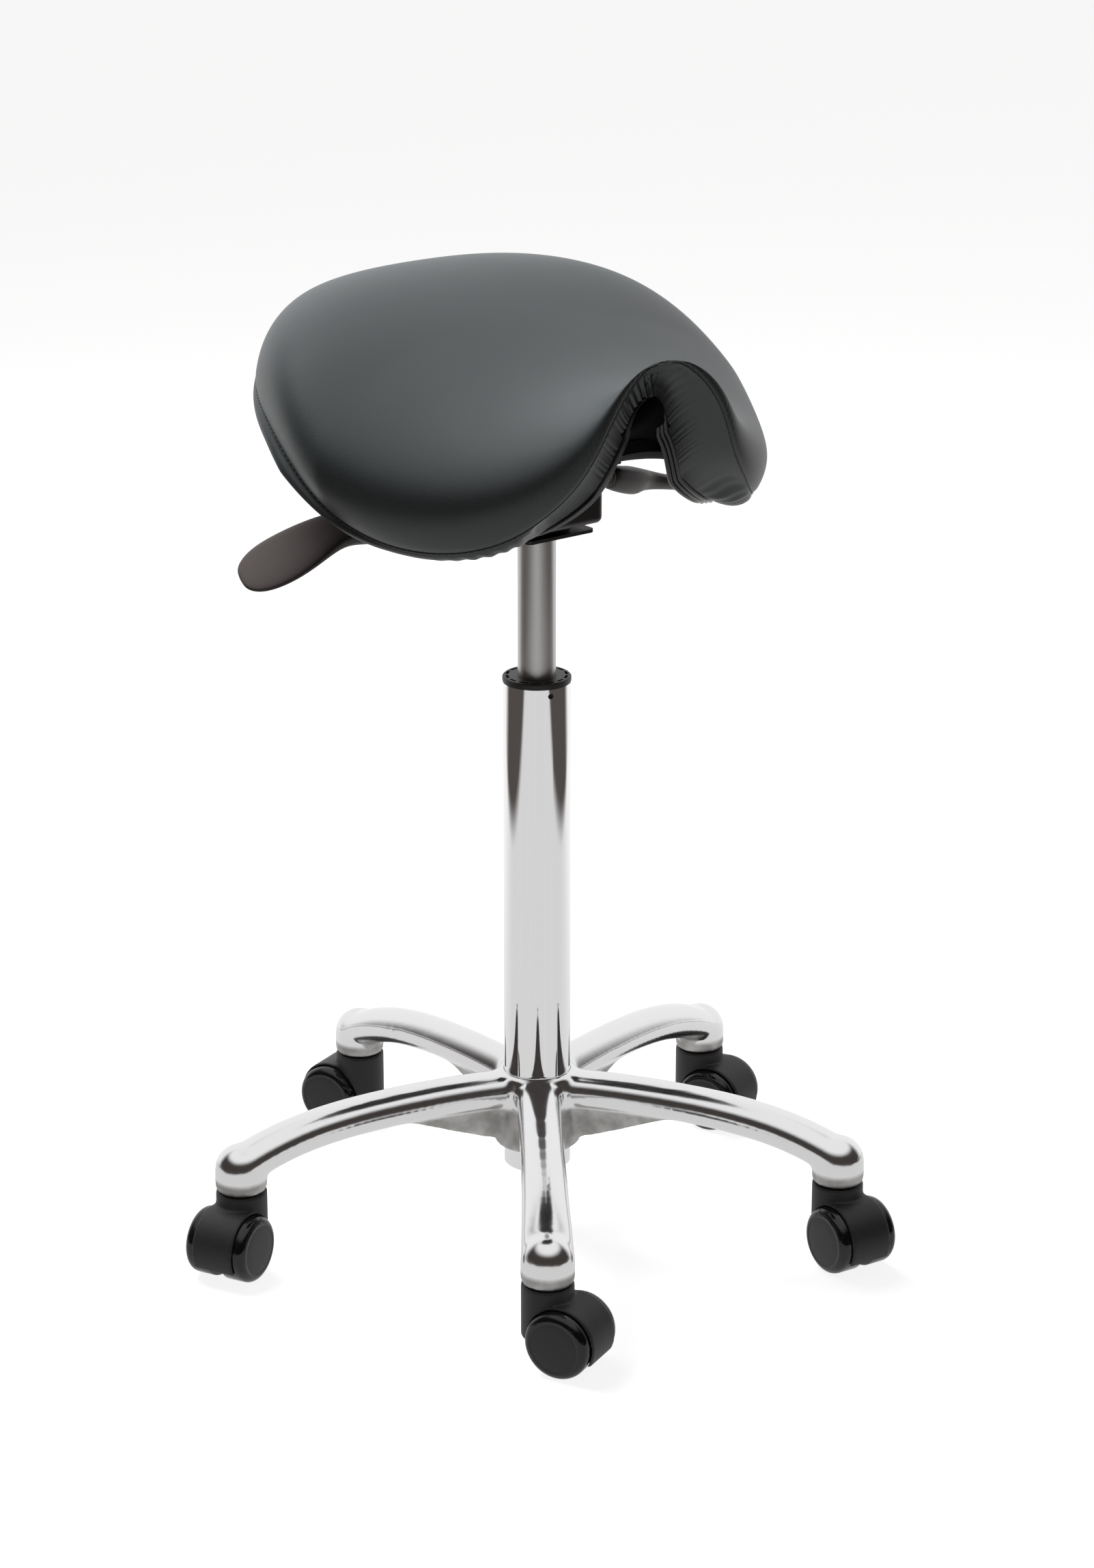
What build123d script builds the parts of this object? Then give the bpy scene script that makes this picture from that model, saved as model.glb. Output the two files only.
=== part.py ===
from build123d import *
import os
from math import cos, radians, sin

# Height-adjustable saddle stool on a five-arm castor base.
# Frame: millimetres, +Z up, origin on the floor under the column; the rider faces -Y.

# ---- driving dimensions -------------------------------------------------------------
running_gap = 0.08        # radial clearance of a pin or shaft that turns or slides
seat_gap = 0.04           # radial clearance of two pieces seated in each other
soft_gap = 0.4            # space left beside foam and between faces that pass each other

# base
arm_count = 5
arm_reach = 233.0         # column axis to castor axis
arm_half_width = 16.8
arm_half_height = 14.0
arm_root_z = 112.5        # centre line of an arm beside the hub
arm_end_z = 84.0          # centre line of an arm over its castor
hub_radius = 33.0
hub_bottom_z = 57.0
hub_top_z = 126.0
boss_radius = 19.4
boss_bottom_z = 62.0
web_half_width = 9.0
socket_radius = 5.5
socket_depth = 24.0

# castors
wheel_radius = 25.0
wheel_width = 21.5
wheel_inner_x = 4.0       # castor mid plane to the inner side of a wheel
wheel_edge_radius = 6.0
wheel_rim = 3.5
wheel_hub_radius = 8.0
castor_trail = 18.0
hood_half_width = 17.0
hood_wall = 1.5
wheel_clearance = 0.7     # between a wheel's tread and its hood
hood_lip_z = 13.0         # the hood is open below this height
hood_web_half = 3.0
hood_neck_radius = 19.0
axle_radius = 3.0
stem_pin_radius = 4.0
castor_trail_turns = (112.0, -155.0, -66.0, -96.0, -68.0)   # as they stand, degrees

# column
tube_radius = 25.0
tube_wall = 2.4
tube_bottom_z = 50.0
tube_top_z = 432.0
floor_plate_z = 56.0
floor_plate_thick = 3.0
collar_radius = 25.3
collar_flange = 4.5
collar_sleeve = 68.0
collar_slot_count = 14
drain_hole_radius = 2.1
rod_radius = 5.0
piston_z = 386.0
piston_height = 14.0
cylinder_radius = 14.0
cylinder_wall = 2.5
cylinder_bottom_z = 246.0
seal_height = 14.0

# mechanism
plate_z = 545.5           # underside of the lower plate, lowest point of the mechanism
plate_thick = 2.5
housing_half_width = 35.0
housing_front = 35.0
housing_back = 75.0
housing_bottom_z = 552.5
housing_top_z = 592.0
housing_wall = 2.5
taper_top_z = 573.0
taper_top_radius = 13.4
pin_radius = 3.5
pin_rise = 5.6            # release pin above the top of the gas spring
tilt_axis_y = 30.0
tilt_axis_z = 584.0
tilt_axle_radius = 5.0
lock_radius = 50.0        # tilt axis to the clamp stud of the tilt lock
lock_x = 19.0
lock_plate_thick = 2.5
lock_disc_thick = 2.0
lock_disc_radius = 9.0
lock_stud_radius = 4.0
tilt_travel = 8.0         # each way, degrees
lever_pivot_inset = 5.0   # pivot pin to the outside of the housing
lever_pivot_x = housing_half_width - lever_pivot_inset
lever_pivot_z = 583.0
lever_shaft_radius = 4.0
pivot_pin_radius = 2.5
lever_sweep = 19.5        # backwards, degrees
lever_droop = 15.0        # downwards, degrees
boot_start = 10.0         # along the lever, from its pivot
boot_length = 44.0
boot_radius = 7.8
boot_rib_count = 11
handle_length = 202.0     # pivot to the tip of the paddle

# seat
seat_plate_z = 603.0
seat_plate_thick = 3.0
seat_plate_half_width = 66.0
seat_plate_front = 45.0
seat_plate_back = 85.0
block_half_width = 52.0
block_front = 33.0
block_back = 78.0
lug_thick = 4.0
cushion_thick = 44.0      # along the middle line
shell_thick = 9.0
bolt_radius = 4.0
bolt_x = 44.0
bolt_y_front = -25.0
bolt_y_back = 68.0
bolt_length = 14.0
insert_radius = 6.0
insert_length = 10.0
shell_edge_rise = 8.0
bump_stop_x = 57.0
bump_stop_y = -20.0

# Cushion stations from the front to the back of the saddle. Each gives y, half width at
# the seam, height of the seam, height of the middle line, thickness of the middle line.
cushion_stations = (
    (-143.0, 68.0, 619.0, 694.0, 24.0),
    (-107.0, 112.0, 577.0, 677.0, cushion_thick),
    (-47.0, 155.0, 568.0, 668.0, cushion_thick),
    (16.0, 179.0, 593.0, 695.0, cushion_thick),
    (78.0, 176.0, 633.0, 712.0, cushion_thick),
    (145.0, 141.0, 657.0, 715.0, 36.0),
    (186.0, 70.0, 684.0, 700.0, 22.0),
)
flap_edge_in = 26.0       # width of the boxing strip around the flaps
flap_edge_down = 7.0

os.makedirs("parts", exist_ok=True)


def save(part, label):
    """Name a finished piece and write its STEP file."""
    part.label = label
    export_step(part, f"parts/{label}.step")


def arm_angle(index):
    """Direction of an arm; the first one points straight back."""
    return 90.0 + index * 360.0 / arm_count


def polar_point(radius, angle, z):
    return (radius * cos(radians(angle)), radius * sin(radians(angle)), z)


# ---- five-arm base ------------------------------------------------------------------
arm_stations = (
    (20.0, arm_root_z - 0.5, 0.0),
    (75.0, arm_root_z, 1.0),
    (130.0, arm_root_z - 3.5, 6.0),
    (185.0, arm_root_z - 13.0, 15.0),
    (arm_reach, arm_end_z, 24.0),
)

with BuildPart(mode=Mode.PRIVATE) as arm:
    for station_r, station_z, slope in arm_stations:
        station_plane = Plane(
            origin=(station_r, 0, station_z),
            x_dir=(0, 1, 0),
            z_dir=(cos(radians(slope)), 0, -sin(radians(slope))),
        )
        with BuildSketch(station_plane):
            Ellipse(arm_half_width, arm_half_height)
    loft()
    with BuildSketch(Plane.XY.offset(boss_bottom_z)):
        with Locations((arm_reach, 0)):
            Circle(boss_radius)
    extrude(amount=arm_end_z - boss_bottom_z - 6.0)
    with Locations((arm_reach, 0, arm_end_z - 6.0)):
        Sphere(boss_radius)
    # web under the arm, deepest at the hub
    with BuildSketch(Plane.XZ.offset(-web_half_width)):
        with BuildLine():
            web_foot = (hub_radius - 8.0, hub_bottom_z + 2.0)
            web_tip = (128.0, arm_root_z - 8.0)
            ThreePointArc(web_foot, (82.0, 88.0), web_tip)
            Line(web_tip, (hub_radius - 8.0, arm_root_z))
            Line((hub_radius - 8.0, arm_root_z), web_foot)
        make_face()
    extrude(amount=2 * web_half_width, dir=(0, -1, 0))

with BuildPart() as base_star:
    with BuildSketch(Plane.XY.offset(hub_bottom_z)):
        Circle(hub_radius)
    extrude(amount=hub_top_z - hub_bottom_z, taper=3.0)
    for arm_index in range(arm_count):
        add(arm.part.rotate(Axis.Z, arm_angle(arm_index)))
    # bore for the column tube
    with BuildSketch(Plane.XY.offset(hub_bottom_z - 5.0)):
        Circle(tube_radius + seat_gap)
    extrude(amount=hub_top_z, mode=Mode.SUBTRACT)
    # flat undersides of the bosses, and the sockets of the castor stems
    with BuildSketch(Plane.XY):
        Circle(2 * arm_reach)
        Circle(arm_reach - 2 * boss_radius, mode=Mode.SUBTRACT)
    extrude(amount=boss_bottom_z, mode=Mode.SUBTRACT)
    with BuildSketch(Plane.XY.offset(boss_bottom_z)):
        with PolarLocations(arm_reach, arm_count, start_angle=arm_angle(0)):
            Circle(socket_radius)
    extrude(amount=socket_depth, mode=Mode.SUBTRACT)
save(base_star.part, "base_star")

# ---- castor stems -------------------------------------------------------------------
stem_shank_radius = socket_radius - 0.6
stem_foot_z = boss_bottom_z - 16.0
with BuildPart() as castor_stems:
    with BuildSketch(Plane.XY.offset(boss_bottom_z)):
        with PolarLocations(arm_reach, arm_count, start_angle=arm_angle(0)):
            Circle(stem_shank_radius)
    extrude(amount=socket_depth - 1.0)
    with BuildSketch(Plane.XY.offset(stem_foot_z)):
        with PolarLocations(arm_reach, arm_count, start_angle=arm_angle(0)):
            Circle(stem_pin_radius)
    extrude(amount=boss_bottom_z - stem_foot_z)
save(castor_stems.part, "castor_stems")

with BuildPart() as stem_grip_rings:
    with BuildSketch(Plane.XY.offset(boss_bottom_z + 5.0)):
        with PolarLocations(arm_reach, arm_count, start_angle=arm_angle(0)):
            Circle(socket_radius - seat_gap)
            Circle(stem_shank_radius + seat_gap, mode=Mode.SUBTRACT)
            with Locations((socket_radius, 0)):
                Rectangle(socket_radius, 1.0, mode=Mode.SUBTRACT)
    extrude(amount=14.0)
save(stem_grip_rings.part, "stem_grip_rings")

# ---- castors ------------------------------------------------------------------------
# Built once with the stem on +Z at the origin and the wheels trailing along +X.
wheel_cavity_radius = wheel_radius + wheel_clearance
hood_radius = wheel_cavity_radius + hood_wall
axle_end = wheel_inner_x + wheel_width - 5.0

with BuildPart(mode=Mode.PRIVATE) as hood_shape:
    with BuildSketch(Plane.XY.offset(wheel_radius - 2.0)):
        Circle(hood_neck_radius)
    extrude(amount=boss_bottom_z - soft_gap - wheel_radius + 2.0)
    with BuildSketch(Plane.XZ.offset(-hood_half_width)):
        with Locations((castor_trail, wheel_radius)):
            Circle(hood_radius)
    extrude(amount=2 * hood_half_width, dir=(0, -1, 0))
    fillet(hood_shape.faces().sort_by(Axis.Z)[-1].edges(), 1.2)
    # room for the two wheels, one each side of the web
    for side in (1, -1):
        with BuildSketch(Plane.XZ.offset(-side * hood_web_half)):
            with Locations((castor_trail, wheel_radius)):
                Circle(wheel_cavity_radius)
        extrude(amount=3 * hood_half_width, dir=(0, side, 0), mode=Mode.SUBTRACT)
    # open mouth at the floor
    with BuildSketch(Plane.XZ.offset(-2 * hood_half_width)):
        with Locations((0, -hood_radius + hood_lip_z)):
            Rectangle(8 * hood_radius, 2 * hood_radius)
    extrude(amount=4 * hood_half_width, dir=(0, -1, 0), mode=Mode.SUBTRACT)
    with BuildSketch(Plane.XZ.offset(-hood_web_half)):
        with Locations((castor_trail, wheel_radius)):
            Circle(axle_radius + seat_gap)
    extrude(amount=2 * hood_web_half, dir=(0, -1, 0), mode=Mode.SUBTRACT)
    with BuildSketch(Plane.XY.offset(stem_foot_z - 0.5)):
        Circle(stem_pin_radius + running_gap)
    extrude(amount=boss_bottom_z - stem_foot_z + 1.0, mode=Mode.SUBTRACT)

with BuildPart(mode=Mode.PRIVATE) as axle_shape:
    with BuildSketch(Plane.XZ.offset(-axle_end)):
        with Locations((castor_trail, wheel_radius)):
            Circle(axle_radius)
    extrude(amount=2 * axle_end, dir=(0, -1, 0))

wheel_outer_x = wheel_inner_x + wheel_width
face_radius = wheel_radius - wheel_edge_radius
with BuildPart(mode=Mode.PRIVATE) as wheel_shape:
    # half section of a wheel: across the axle first, then outwards from its axis
    with BuildSketch(Plane.XY):
        with BuildLine():
            Polyline(
                (wheel_inner_x, axle_radius + running_gap),
                (wheel_inner_x, wheel_hub_radius),
                (wheel_inner_x + 6.0, wheel_hub_radius + 1.0),
                (wheel_inner_x + 6.0, wheel_radius - wheel_rim - 1.5),
                (wheel_inner_x + 0.6, wheel_radius - wheel_rim),
                (wheel_inner_x + 0.6, wheel_radius - 1.5),
                (wheel_inner_x + 2.1, wheel_radius),
                (wheel_outer_x - wheel_edge_radius, wheel_radius),
            )
            RadiusArc(
                (wheel_outer_x - wheel_edge_radius, wheel_radius),
                (wheel_outer_x, face_radius),
                wheel_edge_radius,
            )
            Polyline(
                (wheel_outer_x, face_radius),
                (wheel_outer_x - 0.6, face_radius - 0.6),
                (wheel_outer_x - 0.6, 0),
                (axle_end + 0.6, 0),
                (axle_end + 0.6, axle_radius + running_gap),
                (wheel_inner_x, axle_radius + running_gap),
            )
        make_face()
    revolve(axis=Axis.X)

for arm_index, trail_turn in enumerate(castor_trail_turns):
    castor_number = arm_index + 1
    castor_place = Pos(*polar_point(arm_reach, arm_angle(arm_index), 0)) * Rot(0, 0, trail_turn)
    save(castor_place * hood_shape.part, f"castor_hood_{castor_number}")
    save(castor_place * axle_shape.part, f"castor_axle_{castor_number}")
    # a wheel's own axis is X; it is turned onto the castor's cross axis
    for side_name, side_turn in (("left", 90.0), ("right", -90.0)):
        wheel_place = castor_place * Pos(castor_trail, 0, wheel_radius) * Rot(0, 0, side_turn)
        save(wheel_place * wheel_shape.part, f"castor_wheel_{side_name}_{castor_number}")

# ---- column tube --------------------------------------------------------------------
tube_bore = tube_radius - tube_wall
with BuildPart() as column_tube:
    with BuildSketch(Plane.XY.offset(tube_bottom_z)):
        Circle(tube_radius)
        Circle(tube_bore, mode=Mode.SUBTRACT)
    extrude(amount=tube_top_z - tube_bottom_z)
    chamfer(column_tube.faces().sort_by(Axis.Z)[0].edges().sort_by(SortBy.RADIUS)[-1], 1.0)
    with BuildSketch(Plane.XY.offset(floor_plate_z)):
        Circle(tube_bore + 0.5)
        Circle(rod_radius + running_gap, mode=Mode.SUBTRACT)
    extrude(amount=floor_plate_thick)
    # small hole just under the collar
    with BuildSketch(Plane.YZ.offset(0)):
        with Locations((0, tube_top_z - 5.0)):
            Circle(drain_hole_radius)
    extrude(amount=-1.5 * tube_radius, mode=Mode.SUBTRACT)
save(column_tube.part.rotate(Axis.Z, 76.0), "column_tube")

collar_top_z = tube_top_z + collar_flange
with BuildPart() as guide_collar:
    with BuildSketch(Plane.XY.offset(tube_top_z - collar_sleeve)):
        Circle(tube_bore - seat_gap)
        Circle(cylinder_radius + running_gap, mode=Mode.SUBTRACT)
    extrude(amount=collar_sleeve)
    with BuildSketch(Plane.XY.offset(tube_top_z)):
        Circle(collar_radius)
        Circle(cylinder_radius + running_gap, mode=Mode.SUBTRACT)
    extrude(amount=collar_flange)
    flange_rims = guide_collar.edges().filter_by(GeomType.CIRCLE).group_by(SortBy.RADIUS)[-1]
    chamfer(flange_rims, 0.8)
    with BuildSketch(Plane.XY.offset(collar_top_z)):
        with PolarLocations(collar_radius - 3.4, collar_slot_count):
            Rectangle(2.0, 7.0)
    extrude(amount=-2.2, mode=Mode.SUBTRACT)
save(guide_collar.part, "guide_collar")

# ---- gas spring rod and its thrust bearing ------------------------------------------
bearing_z = floor_plate_z + floor_plate_thick
race_thick = 2.0
ball_radius = 2.0
race_radius = 13.0
ball_ring_radius = 9.2
clip_z = floor_plate_z - 3.4
with BuildPart() as piston_rod:
    with BuildSketch(Plane.XY.offset(tube_bottom_z + 0.5)):
        Circle(rod_radius)
    extrude(amount=piston_z + piston_height - tube_bottom_z - 0.5)
    with BuildSketch(Plane.XY.offset(clip_z)):
        Circle(rod_radius)
        Circle(rod_radius - 0.9, mode=Mode.SUBTRACT)
    extrude(amount=1.4, mode=Mode.SUBTRACT)
save(piston_rod.part, "piston_rod")

with BuildPart() as rod_clip:
    with BuildSketch(Plane.XY.offset(clip_z + 0.1)):
        Circle(rod_radius + 3.5)
        Circle(rod_radius - 0.9 + seat_gap, mode=Mode.SUBTRACT)
        with Locations((rod_radius + 2.0, 0)):
            Rectangle(2 * rod_radius + 4.0, 4.0, mode=Mode.SUBTRACT)
    extrude(amount=1.2)
save(rod_clip.part, "rod_clip")

with BuildPart() as clip_washer:
    with BuildSketch(Plane.XY.offset(clip_z + 1.5)):
        Circle(rod_radius + 4.5)
        Circle(rod_radius + running_gap, mode=Mode.SUBTRACT)
    extrude(amount=floor_plate_z - clip_z - 1.6)
save(clip_washer.part, "clip_washer")

with BuildPart() as lower_race:
    with BuildSketch(Plane.XY.offset(bearing_z)):
        Circle(race_radius)
        Circle(rod_radius + running_gap, mode=Mode.SUBTRACT)
    extrude(amount=race_thick)
save(lower_race.part, "lower_race")

ball_z = bearing_z + race_thick + ball_radius + 0.05
with BuildPart() as bearing_balls:
    with Locations((0, 0, ball_z)):
        with PolarLocations(ball_ring_radius, 9):
            Sphere(ball_radius)
save(bearing_balls.part, "bearing_balls")

with BuildPart() as ball_cage:
    with BuildSketch(Plane.XY.offset(ball_z - 0.7)):
        Circle(race_radius - 0.6)
        Circle(rod_radius + 0.6, mode=Mode.SUBTRACT)
        with PolarLocations(ball_ring_radius, 9):
            Circle(ball_radius + running_gap, mode=Mode.SUBTRACT)
    extrude(amount=1.4)
save(ball_cage.part, "ball_cage")

upper_race_z = ball_z + ball_radius + 0.05
with BuildPart() as upper_race:
    with BuildSketch(Plane.XY.offset(upper_race_z)):
        Circle(race_radius)
        Circle(rod_radius + seat_gap, mode=Mode.SUBTRACT)
    extrude(amount=race_thick)
save(upper_race.part, "upper_race")

with BuildPart() as bump_rubber:
    with BuildSketch(Plane.XY.offset(upper_race_z + race_thick)):
        Circle(race_radius - 1.0)
        Circle(rod_radius + seat_gap, mode=Mode.SUBTRACT)
    extrude(amount=16.0, taper=6.0)
save(bump_rubber.part, "bump_rubber")

# ---- gas spring ---------------------------------------------------------------------
cylinder_bore = cylinder_radius - cylinder_wall
with BuildPart() as piston:
    with BuildSketch(Plane.XY.offset(piston_z)):
        Circle(cylinder_bore - running_gap)
        Circle(rod_radius + seat_gap, mode=Mode.SUBTRACT)
    extrude(amount=piston_height)
    with BuildSketch(Plane.XY.offset(piston_z + 5.0)):
        Circle(cylinder_bore)
        Circle(cylinder_bore - 1.5, mode=Mode.SUBTRACT)
    extrude(amount=4.0, mode=Mode.SUBTRACT)
save(piston.part, "piston")

with BuildPart() as gas_cylinder:
    with BuildSketch(Plane.XZ):
        with BuildLine():
            Polyline(
                (cylinder_bore, cylinder_bottom_z),
                (cylinder_radius - 0.8, cylinder_bottom_z),
                (cylinder_radius, cylinder_bottom_z + 0.8),
                (cylinder_radius, plate_z),
                (taper_top_radius, taper_top_z - 1.0),
                (taper_top_radius - 1.0, taper_top_z),
                (pin_radius + running_gap, taper_top_z),
                (pin_radius + running_gap, taper_top_z - 14.0),
                (cylinder_bore, taper_top_z - 14.0),
                (cylinder_bore, cylinder_bottom_z),
            )
        make_face()
    revolve(axis=Axis.Z)
save(gas_cylinder.part, "gas_cylinder")

with BuildPart() as rod_seal:
    with BuildSketch(Plane.XY.offset(cylinder_bottom_z + 0.5)):
        Circle(cylinder_bore - seat_gap)
        Circle(rod_radius + running_gap, mode=Mode.SUBTRACT)
    extrude(amount=seal_height)
save(rod_seal.part, "rod_seal")

with BuildPart() as release_pin:
    with BuildSketch(Plane.XY.offset(taper_top_z - 22.0)):
        Circle(pin_radius)
    extrude(amount=22.0 + pin_rise)
    fillet(release_pin.faces().sort_by(Axis.Z)[-1].edges(), 1.5)
save(release_pin.part, "release_pin")

# ---- seat mechanism -----------------------------------------------------------------
socket_outer = 20.0
with BuildPart() as taper_socket:
    with BuildSketch(Plane.XZ):
        with BuildLine():
            Polyline(
                (cylinder_radius + 0.3, plate_z + plate_thick),
                (socket_outer + 4.0, plate_z + plate_thick),
                (socket_outer + 4.0, housing_bottom_z),
                (socket_outer, housing_bottom_z),
                (socket_outer, taper_top_z - 1.0),
                (taper_top_radius + seat_gap, taper_top_z - 1.0),
                (cylinder_radius + seat_gap, plate_z + plate_thick),
            )
            Line((cylinder_radius + seat_gap, plate_z + plate_thick),
                 (cylinder_radius + 0.3, plate_z + plate_thick))
        make_face()
    revolve(axis=Axis.Z)
save(taper_socket.part, "taper_socket")

housing_mid_y = (housing_back - housing_front) / 2
housing_depth = housing_back + housing_front
wall_hole_radius = lever_shaft_radius + 2.2
lever_wall_y = (housing_half_width - lever_pivot_x) * sin(radians(lever_sweep))
ear_thick = 3.0
ear_inner_y = lever_shaft_radius + 2.0
with BuildPart() as mechanism_housing:
    with BuildSketch(Plane.XY.offset(housing_bottom_z)):
        with Locations((0, housing_mid_y)):
            RectangleRounded(2 * housing_half_width, housing_depth, 6.0)
    extrude(amount=housing_top_z - housing_bottom_z)
    fillet(mechanism_housing.faces().sort_by(Axis.Z)[0].edges(), 5.0)
    with BuildSketch(Plane.XY.offset(housing_bottom_z + housing_wall)):
        with Locations((0, housing_mid_y)):
            RectangleRounded(
                2 * (housing_half_width - housing_wall), housing_depth - 2 * housing_wall, 4.0
            )
    extrude(amount=housing_top_z - housing_bottom_z, mode=Mode.SUBTRACT)
    with BuildSketch(Plane.XY.offset(housing_bottom_z)):
        Circle(socket_outer + seat_gap)
    extrude(amount=housing_wall, mode=Mode.SUBTRACT)
    # ears that carry the lever pivot pins
    ear_depth = 10.0
    for side in (1, -1):
        for ear_y in (ear_inner_y + ear_thick / 2, -ear_inner_y - ear_thick / 2):
            with Locations((
                side * (housing_half_width - housing_wall - ear_depth / 2 + 0.5),
                ear_y,
                lever_pivot_z - 1.0,
            )):
                Box(ear_depth, ear_thick, 14.0)
    with BuildSketch(Plane.XZ.offset(-ear_inner_y - ear_thick)):
        with Locations((lever_pivot_x, lever_pivot_z), (-lever_pivot_x, lever_pivot_z)):
            Circle(pivot_pin_radius + seat_gap)
    extrude(amount=2 * (ear_inner_y + ear_thick), dir=(0, -1, 0), mode=Mode.SUBTRACT)
    # openings of the lever shafts and of the tilt axle
    with BuildSketch(Plane.YZ.offset(-2 * housing_half_width)):
        with Locations((lever_wall_y, lever_pivot_z - 1.5)):
            Circle(wall_hole_radius)
        with Locations((tilt_axis_y, tilt_axis_z)):
            Circle(tilt_axle_radius + seat_gap)
    extrude(amount=4 * housing_half_width, mode=Mode.SUBTRACT)
save(mechanism_housing.part, "mechanism_housing")

with BuildPart() as lower_plate:
    with BuildSketch(Plane.XY.offset(plate_z)):
        with Locations((0, 14.0)):
            RectangleRounded(60.0, 88.0, 4.0)
        Circle(cylinder_radius + 0.3, mode=Mode.SUBTRACT)
    extrude(amount=plate_thick)
save(lower_plate.part, "lower_plate")

with BuildPart() as lever_pivot_pins:
    with BuildSketch(Plane.XZ.offset(-ear_inner_y - ear_thick)):
        with Locations((lever_pivot_x, lever_pivot_z), (-lever_pivot_x, lever_pivot_z)):
            Circle(pivot_pin_radius)
    extrude(amount=2 * (ear_inner_y + ear_thick), dir=(0, -1, 0))
save(lever_pivot_pins.part, "lever_pivot_pins")

lug_inner_x = housing_half_width + soft_gap
lug_outer_x = lug_inner_x + lug_thick
with BuildPart() as tilt_axle:
    with BuildSketch(Plane.YZ.offset(-lug_outer_x - 2.0)):
        with Locations((tilt_axis_y, tilt_axis_z)):
            Circle(tilt_axle_radius)
    extrude(amount=2 * (lug_outer_x + 2.0))
    for side in (1, -1):
        with BuildSketch(Plane.YZ.offset(side * (lug_outer_x + soft_gap))):
            with Locations((tilt_axis_y, tilt_axis_z)):
                Circle(tilt_axle_radius + 3.0)
        extrude(amount=side * 2.0)
save(tilt_axle.part, "tilt_axle")

# ---- levers -------------------------------------------------------------------------
# Built for the rider's left (+X), from the pivot outwards, then mirrored for the right.
lever_origin = Vector(lever_pivot_x, 0, lever_pivot_z)
lever_out = Vector(
    cos(radians(lever_sweep)) * cos(radians(lever_droop)),
    sin(radians(lever_sweep)) * cos(radians(lever_droop)),
    -sin(radians(lever_droop)),
)
paddle_roll = 24.0        # front edge of the paddle lower than its back edge, degrees
flat_side = Vector(-sin(radians(lever_sweep)), cos(radians(lever_sweep)), 0)
lever_up = lever_out.cross(flat_side)
paddle_side = flat_side * cos(radians(paddle_roll)) + lever_up * sin(radians(paddle_roll))


def lever_plane(distance):
    """Plane across the lever at a distance from its pivot."""
    return Plane(origin=lever_origin + lever_out * distance, x_dir=paddle_side, z_dir=lever_out)


boot_end = boot_start + boot_length
shaft_in_handle = 40.0
def lever_shaft(inner_end):
    """Cranked steel shaft, from inner_end beside the column out into the handle."""
    with BuildPart(mode=Mode.PRIVATE) as shaft:
        with BuildSketch(lever_plane(0)):
            Circle(lever_shaft_radius)
        extrude(amount=boot_end + shaft_in_handle)
        with Locations(lever_origin):
            Sphere(lever_shaft_radius)
        with BuildSketch(Plane.YZ.offset(inner_end)):
            with Locations((0, lever_pivot_z)):
                Circle(lever_shaft_radius)
        extrude(amount=lever_pivot_x - inner_end)
        with BuildSketch(Plane.XZ.offset(-2 * lever_shaft_radius)):
            with Locations((lever_pivot_x, lever_pivot_z)):
                Circle(pivot_pin_radius + running_gap)
        extrude(amount=4 * lever_shaft_radius, dir=(0, -1, 0), mode=Mode.SUBTRACT)
    return shaft.part


with BuildPart(mode=Mode.PRIVATE) as lever_boot_shape:
    rib_pitch = boot_length / boot_rib_count
    with BuildSketch(lever_plane(boot_start)):
        Circle(boot_radius - 1.4)
    extrude(amount=boot_length)
    for rib_index in range(boot_rib_count):
        with BuildSketch(lever_plane(boot_start + (rib_index + 0.2) * rib_pitch)):
            Circle(boot_radius)
        extrude(amount=0.6 * rib_pitch)
    with BuildSketch(lever_plane(0)):
        Circle(lever_shaft_radius + seat_gap)
    extrude(amount=2 * boot_end, mode=Mode.SUBTRACT)

# distance from the pivot, half width and half height of the handle
handle_stations = (
    (boot_end + 0.1, 8.6, 8.6),
    (boot_end + 16.0, 9.4, 9.0),
    (boot_end + 42.0, 13.0, 9.5),
    (boot_end + 68.0, 18.5, 8.0),
    (boot_end + 104.0, 21.0, 5.5),
    (handle_length - 20.0, 19.5, 3.6),
    (handle_length - 5.0, 12.0, 2.4),
    (handle_length, 5.0, 1.2),
)
with BuildPart(mode=Mode.PRIVATE) as lever_handle_shape:
    for station_distance, half_width, half_height in handle_stations:
        with BuildSketch(lever_plane(station_distance)):
            Ellipse(half_width, half_height)
    loft()
    with BuildSketch(lever_plane(0)):
        Circle(lever_shaft_radius + seat_gap)
    extrude(amount=boot_end + shaft_in_handle + 0.5, mode=Mode.SUBTRACT)

pin_side_end = 1.5         # the height lever reaches over the release pin
lock_side_end = lock_x + lock_plate_thick + lock_disc_thick + 1.0
for piece_name, shape in (("boot", lever_boot_shape.part), ("handle", lever_handle_shape.part)):
    save(Part(shape.wrapped), f"tilt_lever_{piece_name}")
    save(mirror(shape, about=Plane.YZ), f"height_lever_{piece_name}")
save(lever_shaft(lock_side_end), "tilt_lever_shaft")
save(mirror(lever_shaft(pin_side_end), about=Plane.YZ), "height_lever_shaft")

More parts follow.
